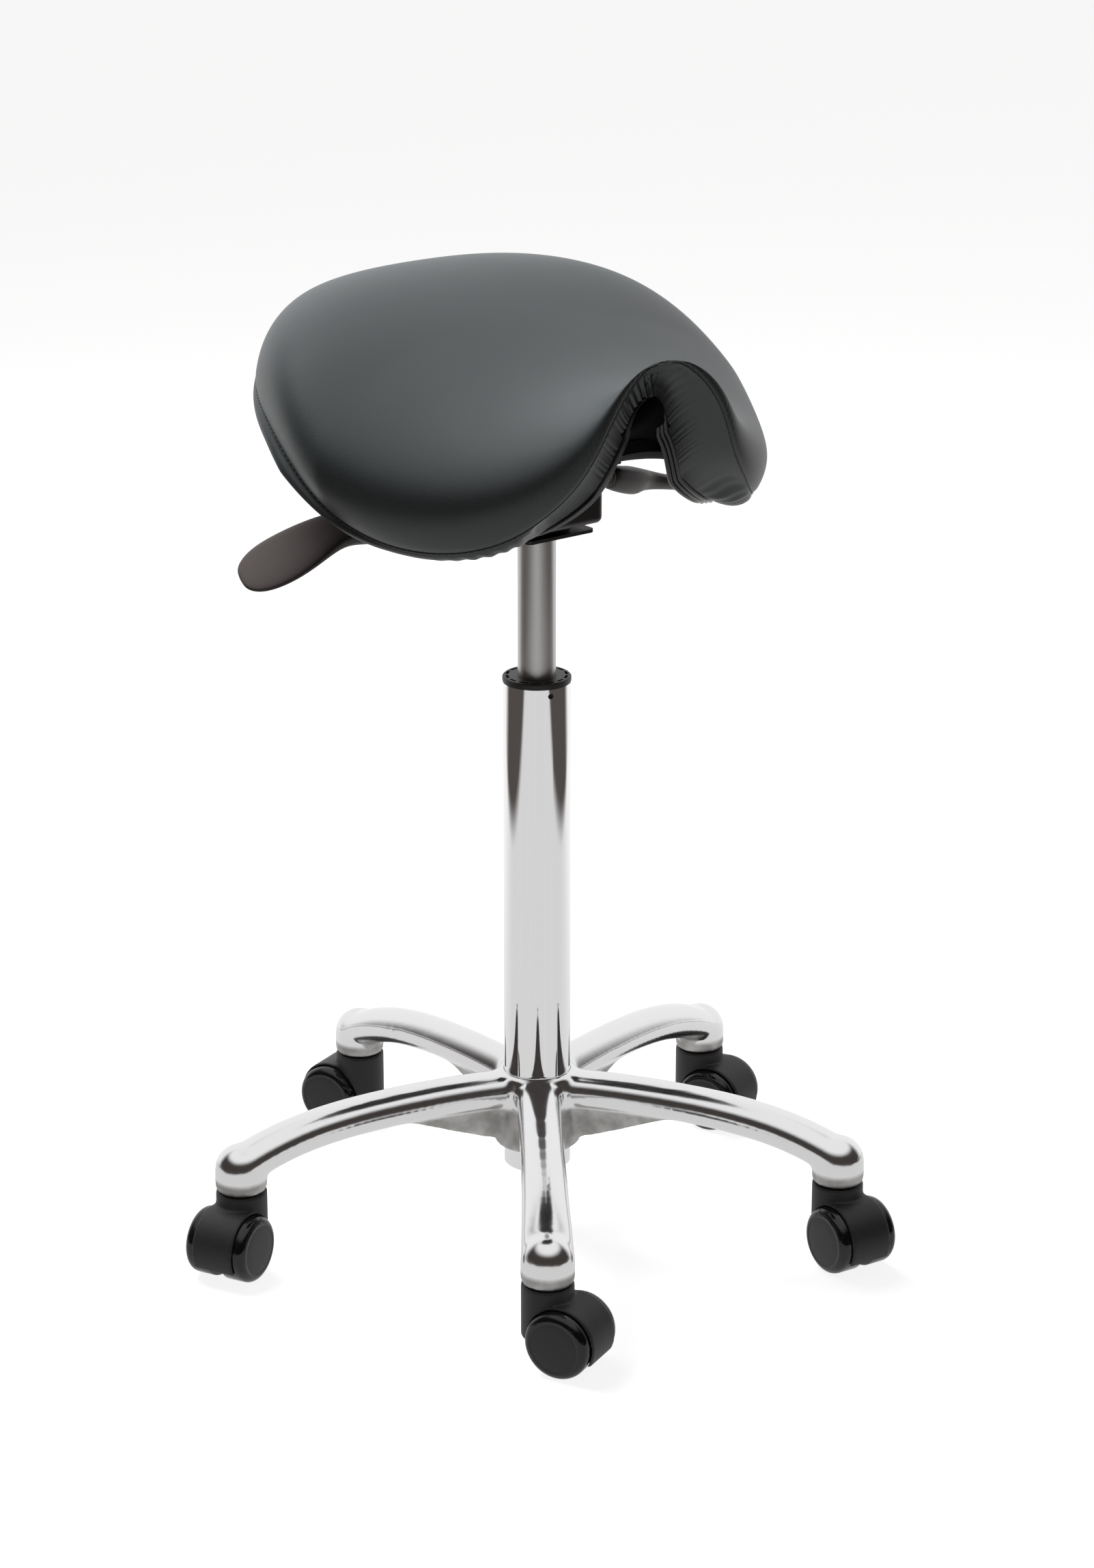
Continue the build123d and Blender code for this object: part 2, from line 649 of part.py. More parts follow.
# ---- tilt lock ----------------------------------------------------------------------
# A slotted plate under the seat slides between two friction discs on a clamp stud.
lock_y = tilt_axis_y - lock_radius
slot_half = lock_radius * radians(tilt_travel + 1.5)
lock_plate_bottom = tilt_axis_z - slot_half - 2 * lock_stud_radius
with BuildPart() as lock_quadrant:
    with BuildSketch(Plane.YZ.offset(lock_x)):
        with Locations((lock_y, (lock_plate_bottom + seat_plate_z) / 2)):
            Rectangle(16.0, seat_plate_z - lock_plate_bottom)
        with BuildLine(mode=Mode.PRIVATE) as slot_path:
            CenterArc(
                (tilt_axis_y, tilt_axis_z),
                lock_radius,
                180.0 - tilt_travel - 1.5,
                2 * (tilt_travel + 1.5),
            )
        SlotArc(slot_path.wires()[0], 2 * (lock_stud_radius + 0.15), mode=Mode.SUBTRACT)
    extrude(amount=lock_plate_thick)
save(lock_quadrant.part, "lock_quadrant")

nut_thick = 4.5
lock_gap = 0.1
with BuildPart() as lock_stud:
    with BuildSketch(Plane.YZ.offset(lock_x - lock_gap - lock_disc_thick - nut_thick)):
        with Locations((lock_y, tilt_axis_z)):
            Circle(lock_stud_radius)
    extrude(amount=housing_half_width - housing_wall - lock_x + lock_gap + lock_disc_thick + nut_thick)
save(lock_stud.part, "lock_stud")

with BuildPart() as lock_discs:
    for disc_x in (lock_x - lock_gap - lock_disc_thick, lock_x + lock_plate_thick + lock_gap):
        with BuildSketch(Plane.YZ.offset(disc_x)):
            with Locations((lock_y, tilt_axis_z)):
                Circle(lock_disc_radius)
                Circle(lock_stud_radius + seat_gap, mode=Mode.SUBTRACT)
        extrude(amount=lock_disc_thick)
save(lock_discs.part, "lock_discs")

with BuildPart() as lock_nut:
    with BuildSketch(Plane.YZ.offset(lock_x - lock_gap - lock_disc_thick - nut_thick)):
        with Locations((lock_y, tilt_axis_z)):
            RegularPolygon(7.0, 6)
            Circle(lock_stud_radius + seat_gap, mode=Mode.SUBTRACT)
    extrude(amount=nut_thick - 0.05)
save(lock_nut.part, "lock_nut")

# ---- seat plate ---------------------------------------------------------------------
plate_mid_y = (seat_plate_back - seat_plate_front) / 2
bolt_places = [(x, y) for x in (-bolt_x, bolt_x) for y in (bolt_y_front, bolt_y_back)]
with BuildPart() as seat_plate:
    with BuildSketch(Plane.XY.offset(seat_plate_z)):
        with Locations((0, plate_mid_y)):
            RectangleRounded(2 * seat_plate_half_width, seat_plate_back + seat_plate_front, 8.0)
        with Locations(*bolt_places):
            Circle(bolt_radius + 0.3, mode=Mode.SUBTRACT)
    extrude(amount=seat_plate_thick)
    # lugs on the ends of the tilt axle
    for side in (1, -1):
        with BuildSketch(Plane.YZ.offset(side * lug_inner_x)):
            with Locations((tilt_axis_y, (tilt_axis_z + seat_plate_z) / 2)):
                Rectangle(26.0, seat_plate_z - tilt_axis_z)
            with Locations((tilt_axis_y, tilt_axis_z)):
                Circle(13.0)
                Circle(tilt_axle_radius + running_gap, mode=Mode.SUBTRACT)
        extrude(amount=side * lug_thick)
save(seat_plate.part, "seat_plate")

# ---- saddle -------------------------------------------------------------------------
block_bottom_z = seat_plate_z + seat_plate_thick
form_floor_z = 500.0      # below the whole saddle


def inner_arch(station, inset):
    """Half width, edge height and middle height of the cushion's hollow, less an inset."""
    y, half_width, edge_z, middle_z, thick = station
    edge_share = thick / cushion_thick
    return (
        half_width - flap_edge_in * edge_share - inset,
        edge_z - flap_edge_down * edge_share,
        middle_z - thick - inset,
    )


def arch_half(half_width, edge_z, middle_z, side):
    """One half of an arch, from its outer edge up to the middle line."""
    span = (half_width**2 + (middle_z - edge_z) ** 2) ** 0.5
    Bezier(
        (side * half_width, edge_z),
        (side * (half_width + 0.04 * span), edge_z + 0.34 * span),
        (side * 0.5 * span, middle_z),
        (0, middle_z),
    )


def cross_plane(y):
    return Plane(origin=(0, y, 0), x_dir=(1, 0, 0), z_dir=(0, -1, 0))


def cushion_section(station):
    """Closed cross-section of the cushion, with its boxing strip at each edge."""
    y, half_width, edge_z, middle_z, thick = station
    inner = inner_arch(station, 0)
    with BuildSketch(cross_plane(y)) as section:
        with BuildLine():
            for side in (1, -1):
                arch_half(half_width, edge_z, middle_z, side)
                arch_half(*inner, side)
                Line((side * half_width, edge_z), (side * inner[0], inner[1]))
        make_face()
    return section.sketch


def hollow_section(station, inset):
    """Cross-section of the space under the cushion, closed far below it."""
    inner = inner_arch(station, inset)
    with BuildSketch(cross_plane(station[0])) as section:
        with BuildLine():
            for side in (1, -1):
                arch_half(*inner, side)
                Line((side * inner[0], inner[1]), (side * inner[0], form_floor_z))
            Line((inner[0], form_floor_z), (-inner[0], form_floor_z))
        make_face()
    return section.sketch


with BuildPart() as seat_cushion:
    loft(sections=[cushion_section(station) for station in cushion_stations])
save(seat_cushion.part, "seat_cushion")

# moulded shell under the foam, set back from the cushion's edge all round
with BuildPart() as seat_shell:
    loft(sections=[hollow_section(station, 2 * soft_gap) for station in cushion_stations])
    loft(
        sections=[hollow_section(station, 2 * soft_gap + shell_thick) for station in cushion_stations],
        mode=Mode.SUBTRACT,
    )
    with BuildSketch(Plane.YZ.offset(-400.0)):
        with BuildLine():
            edge_points = [
                (station[0], station[2] + shell_edge_rise) for station in cushion_stations[1:-1]
            ]
            Spline(*edge_points)
            Polyline(edge_points[-1], (edge_points[-1][0], 900.0),
                     (edge_points[0][0], 900.0), edge_points[0])
        make_face()
    extrude(amount=800.0, mode=Mode.INTERSECT)
save(seat_shell.part, "seat_shell")

# block between the seat plate and the shell, shaped to the shell's underside
with BuildPart() as seat_block:
    with BuildSketch(Plane.XY.offset(block_bottom_z)):
        with Locations((0, (block_back - block_front) / 2)):
            RectangleRounded(2 * block_half_width, block_back + block_front, 5.0)
        with Locations(*bolt_places):
            Circle(bolt_radius + 0.3, mode=Mode.SUBTRACT)
    extrude(amount=60.0)
    with BuildSketch(Plane.XY.offset(block_bottom_z)):
        with Locations(*bolt_places):
            Circle(insert_radius + seat_gap)
    extrude(amount=insert_length + 0.5, mode=Mode.SUBTRACT)
    block_inset = 3 * soft_gap + shell_thick
    loft(
        sections=[hollow_section(station, block_inset) for station in cushion_stations],
        mode=Mode.INTERSECT,
    )
save(seat_block.part, "seat_block")

with BuildPart() as thread_inserts:
    with BuildSketch(Plane.XY.offset(block_bottom_z)):
        with Locations(*bolt_places):
            Circle(insert_radius)
            Circle(bolt_radius + seat_gap, mode=Mode.SUBTRACT)
    extrude(amount=insert_length)
save(thread_inserts.part, "thread_inserts")

with BuildPart() as seat_bolts:
    with BuildSketch(Plane.XY.offset(seat_plate_z)):
        with Locations(*bolt_places):
            RegularPolygon(1.6 * bolt_radius, 6)
    extrude(amount=-0.65 * 2 * bolt_radius)
    with BuildSketch(Plane.XY.offset(seat_plate_z)):
        with Locations(*bolt_places):
            Circle(bolt_radius)
    extrude(amount=bolt_length)
save(seat_bolts.part, "seat_bolts")

with BuildPart() as bump_stops:
    with BuildSketch(Plane.XY.offset(seat_plate_z)):
        with Locations((bump_stop_x, bump_stop_y), (-bump_stop_x, bump_stop_y)):
            Circle(8.0)
    extrude(amount=-6.0)
    with BuildSketch(Plane.XY.offset(seat_plate_z - 6.0)):
        with Locations((bump_stop_x, bump_stop_y), (-bump_stop_x, bump_stop_y)):
            Circle(4.5)
    extrude(amount=-7.0, taper=8.0)
save(bump_stops.part, "bump_stops")
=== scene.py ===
from math import atan, cos, pi, radians, sin, sqrt

import bmesh
import bpy
import numpy as np
from mathutils import Matrix, Vector
from mathutils.bvhtree import BVHTree
from mathutils.kdtree import KDTree


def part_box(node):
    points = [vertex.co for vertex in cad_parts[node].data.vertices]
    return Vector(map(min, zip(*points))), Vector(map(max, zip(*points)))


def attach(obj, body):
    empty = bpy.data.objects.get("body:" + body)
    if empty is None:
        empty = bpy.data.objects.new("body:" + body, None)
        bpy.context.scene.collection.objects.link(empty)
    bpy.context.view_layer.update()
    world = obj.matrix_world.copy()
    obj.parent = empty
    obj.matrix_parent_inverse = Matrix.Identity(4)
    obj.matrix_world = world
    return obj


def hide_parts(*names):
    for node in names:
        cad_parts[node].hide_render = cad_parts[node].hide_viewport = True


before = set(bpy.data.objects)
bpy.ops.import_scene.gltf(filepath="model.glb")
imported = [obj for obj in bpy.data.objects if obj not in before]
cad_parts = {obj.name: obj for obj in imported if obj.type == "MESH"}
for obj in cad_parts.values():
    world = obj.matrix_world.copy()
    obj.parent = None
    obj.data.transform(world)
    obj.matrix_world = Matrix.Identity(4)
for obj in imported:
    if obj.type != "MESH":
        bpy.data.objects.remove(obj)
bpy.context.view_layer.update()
scene = bpy.context.scene

# ---- camera and studio --------------------------------------------------------------
# The stool stands on a white floor under a broad overhead softbox, with the bright
# backdrop behind it and the dark room in front and at its sides. Polished metal sees the
# floor as white paper that ends at the dark room, which draws the column's dark lines.
mm = 0.001
heading = radians(-37.95)
pitch = radians(19.08)
eye = Vector((0.0074, -2.703, 1.287))
camera = bpy.data.objects.new("camera", bpy.data.cameras.new("camera"))
scene.collection.objects.link(camera)
camera.location = Matrix.Rotation(heading, 4, "Z") @ eye
camera.rotation_euler = (radians(90) - pitch, 0, heading)
camera.data.lens = 89.2
camera.data.clip_end = 60.0
scene.camera = camera
scene.view_settings.view_transform = "Standard"


class Wire:
    """A socket of a node tree. Arithmetic on it adds Math nodes; node() adds any other node."""

    def __init__(self, tree, socket=None):
        self.tree = tree
        self.socket = socket

    def node(self, kind, inputs=None, output=0, stops=None, **settings):
        made = self.tree.nodes.new(kind)
        for name, value in settings.items():
            setattr(made, name, value)
        for position, value in stops or []:
            place = 0 if position == 0.0 else 1
            element = made.color_ramp.elements[place]
            element.position = position
            element.color = (value, value, value, 1.0)
        for name, value in (inputs or {}).items():
            if isinstance(value, Wire):
                self.tree.links.new(value.socket, made.inputs[name])
            else:
                made.inputs[name].default_value = value
        return Wire(self.tree, made.outputs[output])

    def math(self, operation, first, second=0.0, third=0.0):
        return self.node("ShaderNodeMath", {0: first, 1: second, 2: third}, operation=operation)

    def step(self, low, high):
        """0 below low, 1 above high, smooth between."""
        return self.node(
            "ShaderNodeMapRange", {"Value": self, 1: low, 2: high, 3: 0.0, 4: 1.0},
            interpolation_type="SMOOTHSTEP",
        )

    def mix(self, factor, first, second):
        """first where factor is 0, second where it is 1, for colours."""
        return self.node(
            "ShaderNodeMix", {0: factor, 6: first, 7: second}, output=2, data_type="RGBA"
        )

    def __add__(self, other):
        return self.math("ADD", self, other)

    def __sub__(self, other):
        return self.math("SUBTRACT", self, other)

    def __rsub__(self, other):
        return self.math("SUBTRACT", other, self)

    def __mul__(self, other):
        return self.math("MULTIPLY", self, other)

    __radd__ = __add__
    __rmul__ = __mul__


def object_from(mesh_maker, name, material=None, smooth=True):
    """A linked object holding the bmesh, in place, in the frame's metres."""
    mesh = bpy.data.meshes.new(name)
    mesh_maker.to_mesh(mesh)
    mesh_maker.free()
    if smooth:
        mesh.shade_smooth()
    made = bpy.data.objects.new(name, mesh)
    scene.collection.objects.link(made)
    if material:
        mesh.materials.append(material)
    return made


away = Matrix.Rotation(heading, 3, "Z") @ Vector((0, 1, 0))
side = Matrix.Rotation(heading, 3, "Z") @ Vector((1, 0, 0))

world = bpy.data.worlds.new("studio")
scene.world = world
world.use_nodes = True
sky = Wire(world.node_tree)
direction = sky.node("ShaderNodeTexCoord", output=0)
facing = sky.node(
    "ShaderNodeVectorMath", {0: direction, 1: away}, output=1, operation="DOT_PRODUCT"
)
rise = sky.node("ShaderNodeSeparateXYZ", {0: direction}, output=2)
backdrop = facing.step(0.15, 0.60) * 0.95
ceiling = rise.step(0.55, 0.85) * 0.92
seen = sky.node("ShaderNodeLightPath", output=0)
diffuse = sky.node("ShaderNodeLightPath", output=2)
diffuse_loss = 0.90
brightness = sky.math("MAXIMUM", backdrop, ceiling) * (1.0 - diffuse * diffuse_loss)
brightness = sky.math("MAXIMUM", brightness, seen)
room_colour = (0.050, 0.043, 0.040, 1.0)
glow = sky.mix(brightness, room_colour, (1.0, 1.0, 1.0, 1.0))
backing = world.node_tree.nodes["Background"]
world.node_tree.links.new(glow.socket, backing.inputs["Color"])
backing.inputs["Strength"].default_value = 1.0


def lamp(name, place, target, width, depth, power):
    """A rectangular softbox, aimed at a target."""
    light = bpy.data.lights.new(name, "AREA")
    light.shape = "RECTANGLE"
    light.size = width
    light.size_y = depth
    light.energy = power
    made = bpy.data.objects.new(name, light)
    made.location = place
    made.rotation_euler = (Vector(target) - Vector(place)).to_track_quat("-Z", "Y").to_euler()
    scene.collection.objects.link(made)
    return made


top_centre = away * 0.75 + Vector((0, 0, 2.1)) - side * 0.8
softbox = lamp("overhead", top_centre, (0, 0, 0.5), 1.8, 1.2, 72.0)
softbox.visible_glossy = False


def stage_disc(name, radius, height):
    """A flat disc of the studio's floor, with its own paint."""
    bm = bmesh.new()
    bmesh.ops.create_circle(bm, cap_ends=True, segments=96, radius=radius)
    paint = bpy.data.materials.new(name)
    paint.use_nodes = True
    disc = object_from(bm, name, paint, smooth=False)
    disc.location.z = height
    disc.rotation_euler.z = heading
    return disc, Wire(paint.node_tree), paint.node_tree.nodes["Principled BSDF"]


floor, tree, shader = stage_disc("floor", 14.0, -0.0002)
shader.inputs["Base Color"].default_value = (0.35, 0.35, 0.35, 1.0)
shader.inputs["Roughness"].default_value = 0.9
shader.inputs["Specular IOR Level"].default_value = 0.0
shader.inputs["Emission Color"].default_value = (1.0, 1.0, 1.0, 1.0)
shader.inputs["Emission Strength"].default_value = 0.88
floor.visible_glossy = False
floor.visible_diffuse = False

# what the polished metal sees of the floor: white paper with the dark room beside it
paper_half = 0.95
dark_room = (0.085, 0.073, 0.068, 1.0)
paper, tree, shader = stage_disc("paper", 12.0, -0.0004)
shader.inputs["Base Color"].default_value = (0.0, 0.0, 0.0, 1.0)
shader.inputs["Specular IOR Level"].default_value = 0.0
shader.inputs["Emission Strength"].default_value = 1.0
spot = tree.node("ShaderNodeTexCoord", output=3)
sideways = tree.math("ABSOLUTE", tree.node("ShaderNodeSeparateXYZ", {0: spot}, output=0))
back = tree.node("ShaderNodeSeparateXYZ", {0: spot}, output=1)
white = 0.72 + back.step(-0.1, 0.9) * 0.28
lit = 1.0 - sideways.step(paper_half - 0.1, paper_half + 0.06) * (1.0 - back.step(0.35, 0.9))
white_paper = tree.node("ShaderNodeCombineColor", {0: white, 1: white * 0.995, 2: white * 0.985})
level = tree.mix(lit, dark_room, white_paper)
tree.tree.links.new(level.socket, shader.inputs["Emission Color"])
paper.visible_camera = False
paper.visible_diffuse = False
paper.visible_shadow = False

# the little light that the floor throws back up at the stool
bounce, tree, shader = stage_disc("bounce", 3.0, -0.0006)
shader.inputs["Base Color"].default_value = (0.0, 0.0, 0.0, 1.0)
shader.inputs["Emission Color"].default_value = (1.0, 0.97, 0.94, 1.0)
shader.inputs["Emission Strength"].default_value = 0.05
bounce.visible_camera = False
bounce.visible_glossy = False
bounce.visible_shadow = False


def new_material(name, colour, roughness, **constants):
    """A Principled material: its node tree as a Wire, and its shader."""
    material = bpy.data.materials.new(name)
    material.use_nodes = True
    shader = material.node_tree.nodes["Principled BSDF"]
    shader.inputs["Base Color"].default_value = (*colour, 1.0)
    shader.inputs["Roughness"].default_value = roughness
    for socket, value in constants.items():
        shader.inputs[socket.replace("_", " ")].default_value = value
    return material, Wire(material.node_tree), shader


def feed(shader, socket, wire):
    """A wire plugged into a shader's socket."""
    wire.tree.links.new(wire.socket, shader.inputs[socket])


def place_of(tree, stretch=(1.0, 1.0, 1.0)):
    """Object coordinates, stretched."""
    return tree.node(
        "ShaderNodeMapping",
        {"Vector": tree.node("ShaderNodeTexCoord", output=3), "Scale": stretch},
    )


def cloud(tree, place, scale, detail=2.0):
    """Soft noise, about 0 to 1."""
    return tree.node("ShaderNodeTexNoise", {"Vector": place, "Scale": scale, "Detail": detail})


def bump(tree, shader, height, depth, strength=1.0):
    """Relief of that depth in metres."""
    feed(shader, "Normal", tree.node(
        "ShaderNodeBump", {"Height": height, "Distance": depth, "Strength": strength}
    ))


def give(material, *nodes):
    """The material put on CAD nodes that are shown as they are."""
    for node in nodes:
        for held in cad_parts[node].material_slots:
            held.material = material


# ---- base star ----------------------------------------------------------------------
# One aluminium die casting: five round arms that run into a hub, a web under each arm
# and a boss over each castor. Tops are polished; webs, hub and boss feet are left cast.
base_low, base_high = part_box("base_star")
arm_reach = 0.233
# distance out, height of the arm's middle, and its half width there
arm_course = np.array([
    (0.018, 0.1120, 0.0168), (0.075, 0.1125, 0.0168), (0.130, 0.1090, 0.0168),
    (0.185, 0.0995, 0.0174), (0.215, 0.0892, 0.0186), (arm_reach, 0.0800, 0.0193),
])
arm_height = np.polynomial.Polynomial.fit(arm_course[:, 0], arm_course[:, 1], 4)
arm_slope = arm_height.deriv()
arm_rings = 26
arm_half_height = 0.0140
boss_radius = 0.0194
boss_middle = 0.0785
boss_bottom = 0.0620
foot_height = boss_middle - boss_bottom
hub_radius = 0.033
hub_taper = 0.003
hub_bottom = base_low.z + 0.010
hub_height = base_high.z - hub_bottom
# distance out and height of the lower edge of a web
web_stations = (
    (0.024, 0.0730), (0.045, 0.0775), (0.070, 0.0860), (0.098, 0.0960), (0.128, 0.1040),
)
web_half = 0.0085
web_top = 0.112
web_overlap = 0.0004


def ring_at(bm, place, half_width, half_height, segments=28, cap=False):
    """One oval loop across an arm, and its edges."""
    shape = place @ Matrix.Diagonal((half_width, half_height, 1, 1))
    made = bmesh.ops.create_circle(bm, cap_ends=cap, segments=segments, radius=1.0, matrix=shape)
    corners = set(made["verts"])
    return [edge for edge in bm.edges if set(edge.verts) <= corners]


bm = bmesh.new()
for arm in range(5):
    arm_turn = Matrix.Rotation(radians(90 + 72 * arm), 4, "Z")
    loops = []
    for number, reach in enumerate(np.linspace(arm_course[0, 0], arm_reach, arm_rings)):
        turn_down = radians(90) - atan(arm_slope(reach))
        station = Matrix.Translation((reach, 0, arm_height(reach)))
        station = station @ Matrix.Rotation(turn_down, 4, "Y") @ Matrix.Rotation(radians(90), 4, "Z")
        is_end = number in (0, arm_rings - 1)
        half_width = np.interp(reach, arm_course[:, 0], arm_course[:, 2])
        loops.append(ring_at(bm, arm_turn @ station, half_width, arm_half_height, cap=is_end))
    for first, second in zip(loops, loops[1:]):
        bmesh.ops.bridge_loops(bm, edges=first + second)
    bmesh.ops.create_uvsphere(
        bm, u_segments=40, v_segments=24, radius=boss_radius,
        matrix=arm_turn @ Matrix.Translation((arm_reach, 0, boss_middle)),
    )
    bmesh.ops.create_cone(
        bm, cap_ends=True, segments=40, radius1=boss_radius, radius2=boss_radius, depth=foot_height,
        matrix=arm_turn @ Matrix.Translation((arm_reach, 0, boss_bottom + foot_height / 2)),
    )
    for (near, near_z), (far, far_z) in zip(web_stations, web_stations[1:]):
        block = bmesh.ops.create_cube(bm, size=1.0)["verts"]
        for corner in block:
            is_outer = corner.co.x > 0
            out = far + web_overlap if is_outer else near - web_overlap
            foot = far_z if is_outer else near_z
            up = web_top if corner.co.z > 0 else foot
            corner.co = arm_turn @ Vector((out, corner.co.y * 2 * web_half, up))
bmesh.ops.create_cone(
    bm, cap_ends=True, segments=72, radius1=hub_radius, radius2=hub_radius - hub_taper,
    depth=hub_height, matrix=Matrix.Translation((0, 0, (base_high.z + hub_bottom) / 2)),
)
bmesh.ops.recalc_face_normals(bm, faces=bm.faces)


def apply_modifiers(made):
    """Keep the mesh that the modifiers give, and drop them."""
    graph = bpy.context.evaluated_depsgraph_get()
    mesh = bpy.data.meshes.new_from_object(made.evaluated_get(graph))
    made.modifiers.clear()
    made.data = mesh
    mesh.shade_smooth()


def remesh(made, voxel, smoothing):
    """Melt a piece's overlapping shapes into one skin with soft joins."""
    skin = made.modifiers.new("skin", "REMESH")
    skin.mode = "VOXEL"
    skin.voxel_size = voxel
    skin.use_smooth_shade = True
    ease = made.modifiers.new("ease", "SMOOTH")
    ease.iterations = smoothing
    ease.factor = 0.5
    apply_modifiers(made)


def cut(made, tool):
    """Take the tool's shape out of a piece, and delete the tool."""
    knife = made.modifiers.new("cut", "BOOLEAN")
    knife.operation = "DIFFERENCE"
    knife.object = tool
    knife.solver = "EXACT"
    apply_modifiers(made)
    bpy.data.objects.remove(tool)


aluminium, tree, shader = new_material("polished_aluminium", (0.83, 0.83, 0.84), 0.1, Metallic=1.0)
base_star = object_from(bm, "base_casting")
remesh(base_star, 0.0019, 26)

# the bore of the column, cut clean after the skin is made
bm = bmesh.new()
bore_radius = 0.0255
bmesh.ops.create_cone(
    bm, cap_ends=True, segments=96, radius1=bore_radius, radius2=bore_radius, depth=0.3,
    matrix=Matrix.Translation((0, 0, 0.1)),
)
cut(base_star, object_from(bm, "bore_cutter"))
base_star.data.materials.clear()
base_star.data.materials.append(aluminium)

# 1 where the casting is polished, 0 on webs, hub wall and boss feet
polished_depth = 0.0135
polished_foot = boss_bottom + 0.008
polish_blend = 0.003
boss_start = arm_reach - 0.018
polish = base_star.data.attributes.new("polish", "FLOAT", "POINT")
for number, point in enumerate(base_star.data.vertices):
    x, y, z = point.co
    reach = sqrt(x * x + y * y)
    height = arm_height(min(reach, arm_reach))
    low_edge = height - polished_depth if reach < boss_start else polished_foot
    polish.data[number].value = float(np.clip((z - low_edge) / polish_blend, 0, 1))

shine = tree.node("ShaderNodeAttribute", output=2, attribute_name="polish")
wear = cloud(tree, place_of(tree), 60.0, 5.0)
pits = cloud(tree, place_of(tree), 900.0, 3.0)
feed(shader, "Roughness", 0.46 - shine * 0.33 + wear * 0.06)
dull = tree.mix(wear.step(0.35, 0.65), (0.36, 0.35, 0.34, 1.0), (0.56, 0.55, 0.54, 1.0))
feed(shader, "Base Color", tree.mix(shine, dull, (0.84, 0.84, 0.85, 1.0)))
bump(tree, shader, pits * (1.0 - shine) * 0.9 + wear * 0.06, 0.0003, 0.6)
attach(base_star, "base")
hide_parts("base_star")

# ---- column tube --------------------------------------------------------------------
# Drawn steel tube, ground and chromed bright, pressed down through the hub. A small
# round hole is punched just under its collar.
chrome, tree, shader = new_material("chrome", (0.90, 0.90, 0.91), 0.04, Metallic=1.0)
draw_lines = cloud(tree, place_of(tree, (900.0, 900.0, 6.0)), 1.0, 2.0)
feed(shader, "Roughness", 0.025 + draw_lines * 0.03)
feed(shader, "Base Color", tree.mix(draw_lines, (0.87, 0.87, 0.88, 1.0), (0.93, 0.93, 0.94, 1.0)))
give(chrome, "column_tube")

# ---- guide collar -------------------------------------------------------------------
# Injection moulded nylon bush in the mouth of the tube, with a slotted flange.
nylon, tree, shader = new_material("moulded_nylon", (0.020, 0.0155, 0.0145), 0.42)
skin_grain = cloud(tree, place_of(tree), 1500.0, 3.0)
feed(shader, "Roughness", 0.36 + skin_grain * 0.14)
bump(tree, shader, skin_grain, 0.00006)
give(nylon, "guide_collar", "ball_cage", "stem_grip_rings")

# ---- gas spring ---------------------------------------------------------------------
# Brushed steel cylinder that slides in the collar on a thin rod. The rod stands on a
# ball thrust bearing at the foot of the column.
satin, tree, shader = new_material("satin_steel", (0.62, 0.61, 0.60), 0.34, Metallic=1.0)
brushing = cloud(tree, place_of(tree, (25.0, 25.0, 5200.0)), 1.0, 3.0)
streaks = cloud(tree, place_of(tree, (160.0, 160.0, 9.0)), 1.0, 3.0)
feed(shader, "Roughness", 0.30 + brushing * 0.10 + streaks * 0.06)
feed(shader, "Base Color", tree.mix(streaks, (0.50, 0.49, 0.48, 1.0), (0.70, 0.69, 0.68, 1.0)))
bump(tree, shader, brushing, 0.00004, 0.5)
give(satin, "gas_cylinder", "piston_rod", "release_pin")

zinc, tree, shader = new_material("zinc_plate", (0.55, 0.55, 0.56), 0.3, Metallic=1.0)
tarnish = cloud(tree, place_of(tree), 180.0, 4.0)
feed(shader, "Roughness", 0.22 + tarnish * 0.2)
give(
    zinc, "piston", "rod_clip", "clip_washer", "lower_race", "upper_race", "bearing_balls",
    "castor_stems", "lever_pivot_pins", "tilt_axle", "lock_stud", "lock_discs", "lock_nut",
    "height_lever_shaft", "tilt_lever_shaft", "seat_bolts", "thread_inserts",
    *[f"castor_axle_{number}" for number in range(1, 6)],
)

# ---- seat mechanism -----------------------------------------------------------------
# Pressed steel box with a folded plate beneath it and a slotted plate above, all in dark
# powder coat. It grips the taper of the gas spring and carries the tilt axle.
coat, tree, shader = new_material("powder_coat", (0.026, 0.020, 0.019), 0.42)
orange_peel = cloud(tree, place_of(tree), 700.0, 2.0)
dust = cloud(tree, place_of(tree), 90.0, 4.0)
feed(shader, "Roughness", 0.36 + dust * 0.14)
feed(shader, "Base Color", tree.mix(dust, (0.021, 0.016, 0.015, 1.0), (0.033, 0.026, 0.025, 1.0)))
bump(tree, shader, orange_peel, 0.00008)
give(coat, "mechanism_housing", "lower_plate", "taper_socket", "seat_plate", "lock_quadrant")

rubber, tree, shader = new_material("rubber", (0.030, 0.026, 0.025), 0.6)
bloom = cloud(tree, place_of(tree), 400.0, 4.0)
feed(shader, "Roughness", 0.5 + bloom * 0.2)
bump(tree, shader, bloom, 0.00005)
give(rubber, "bump_rubber", "rod_seal", "height_lever_boot", "tilt_lever_boot", "bump_stops")

board, tree, shader = new_material(
    "black_board", (0.006, 0.0055, 0.0055), 0.8, Specular_IOR_Level=0.15
)
fibres = cloud(tree, place_of(tree, (300.0, 300.0, 1500.0)), 1.0, 4.0)
feed(shader, "Roughness", 0.7 + fibres * 0.25)
bump(tree, shader, fibres, 0.0002)
give(board, "seat_block", "seat_shell")

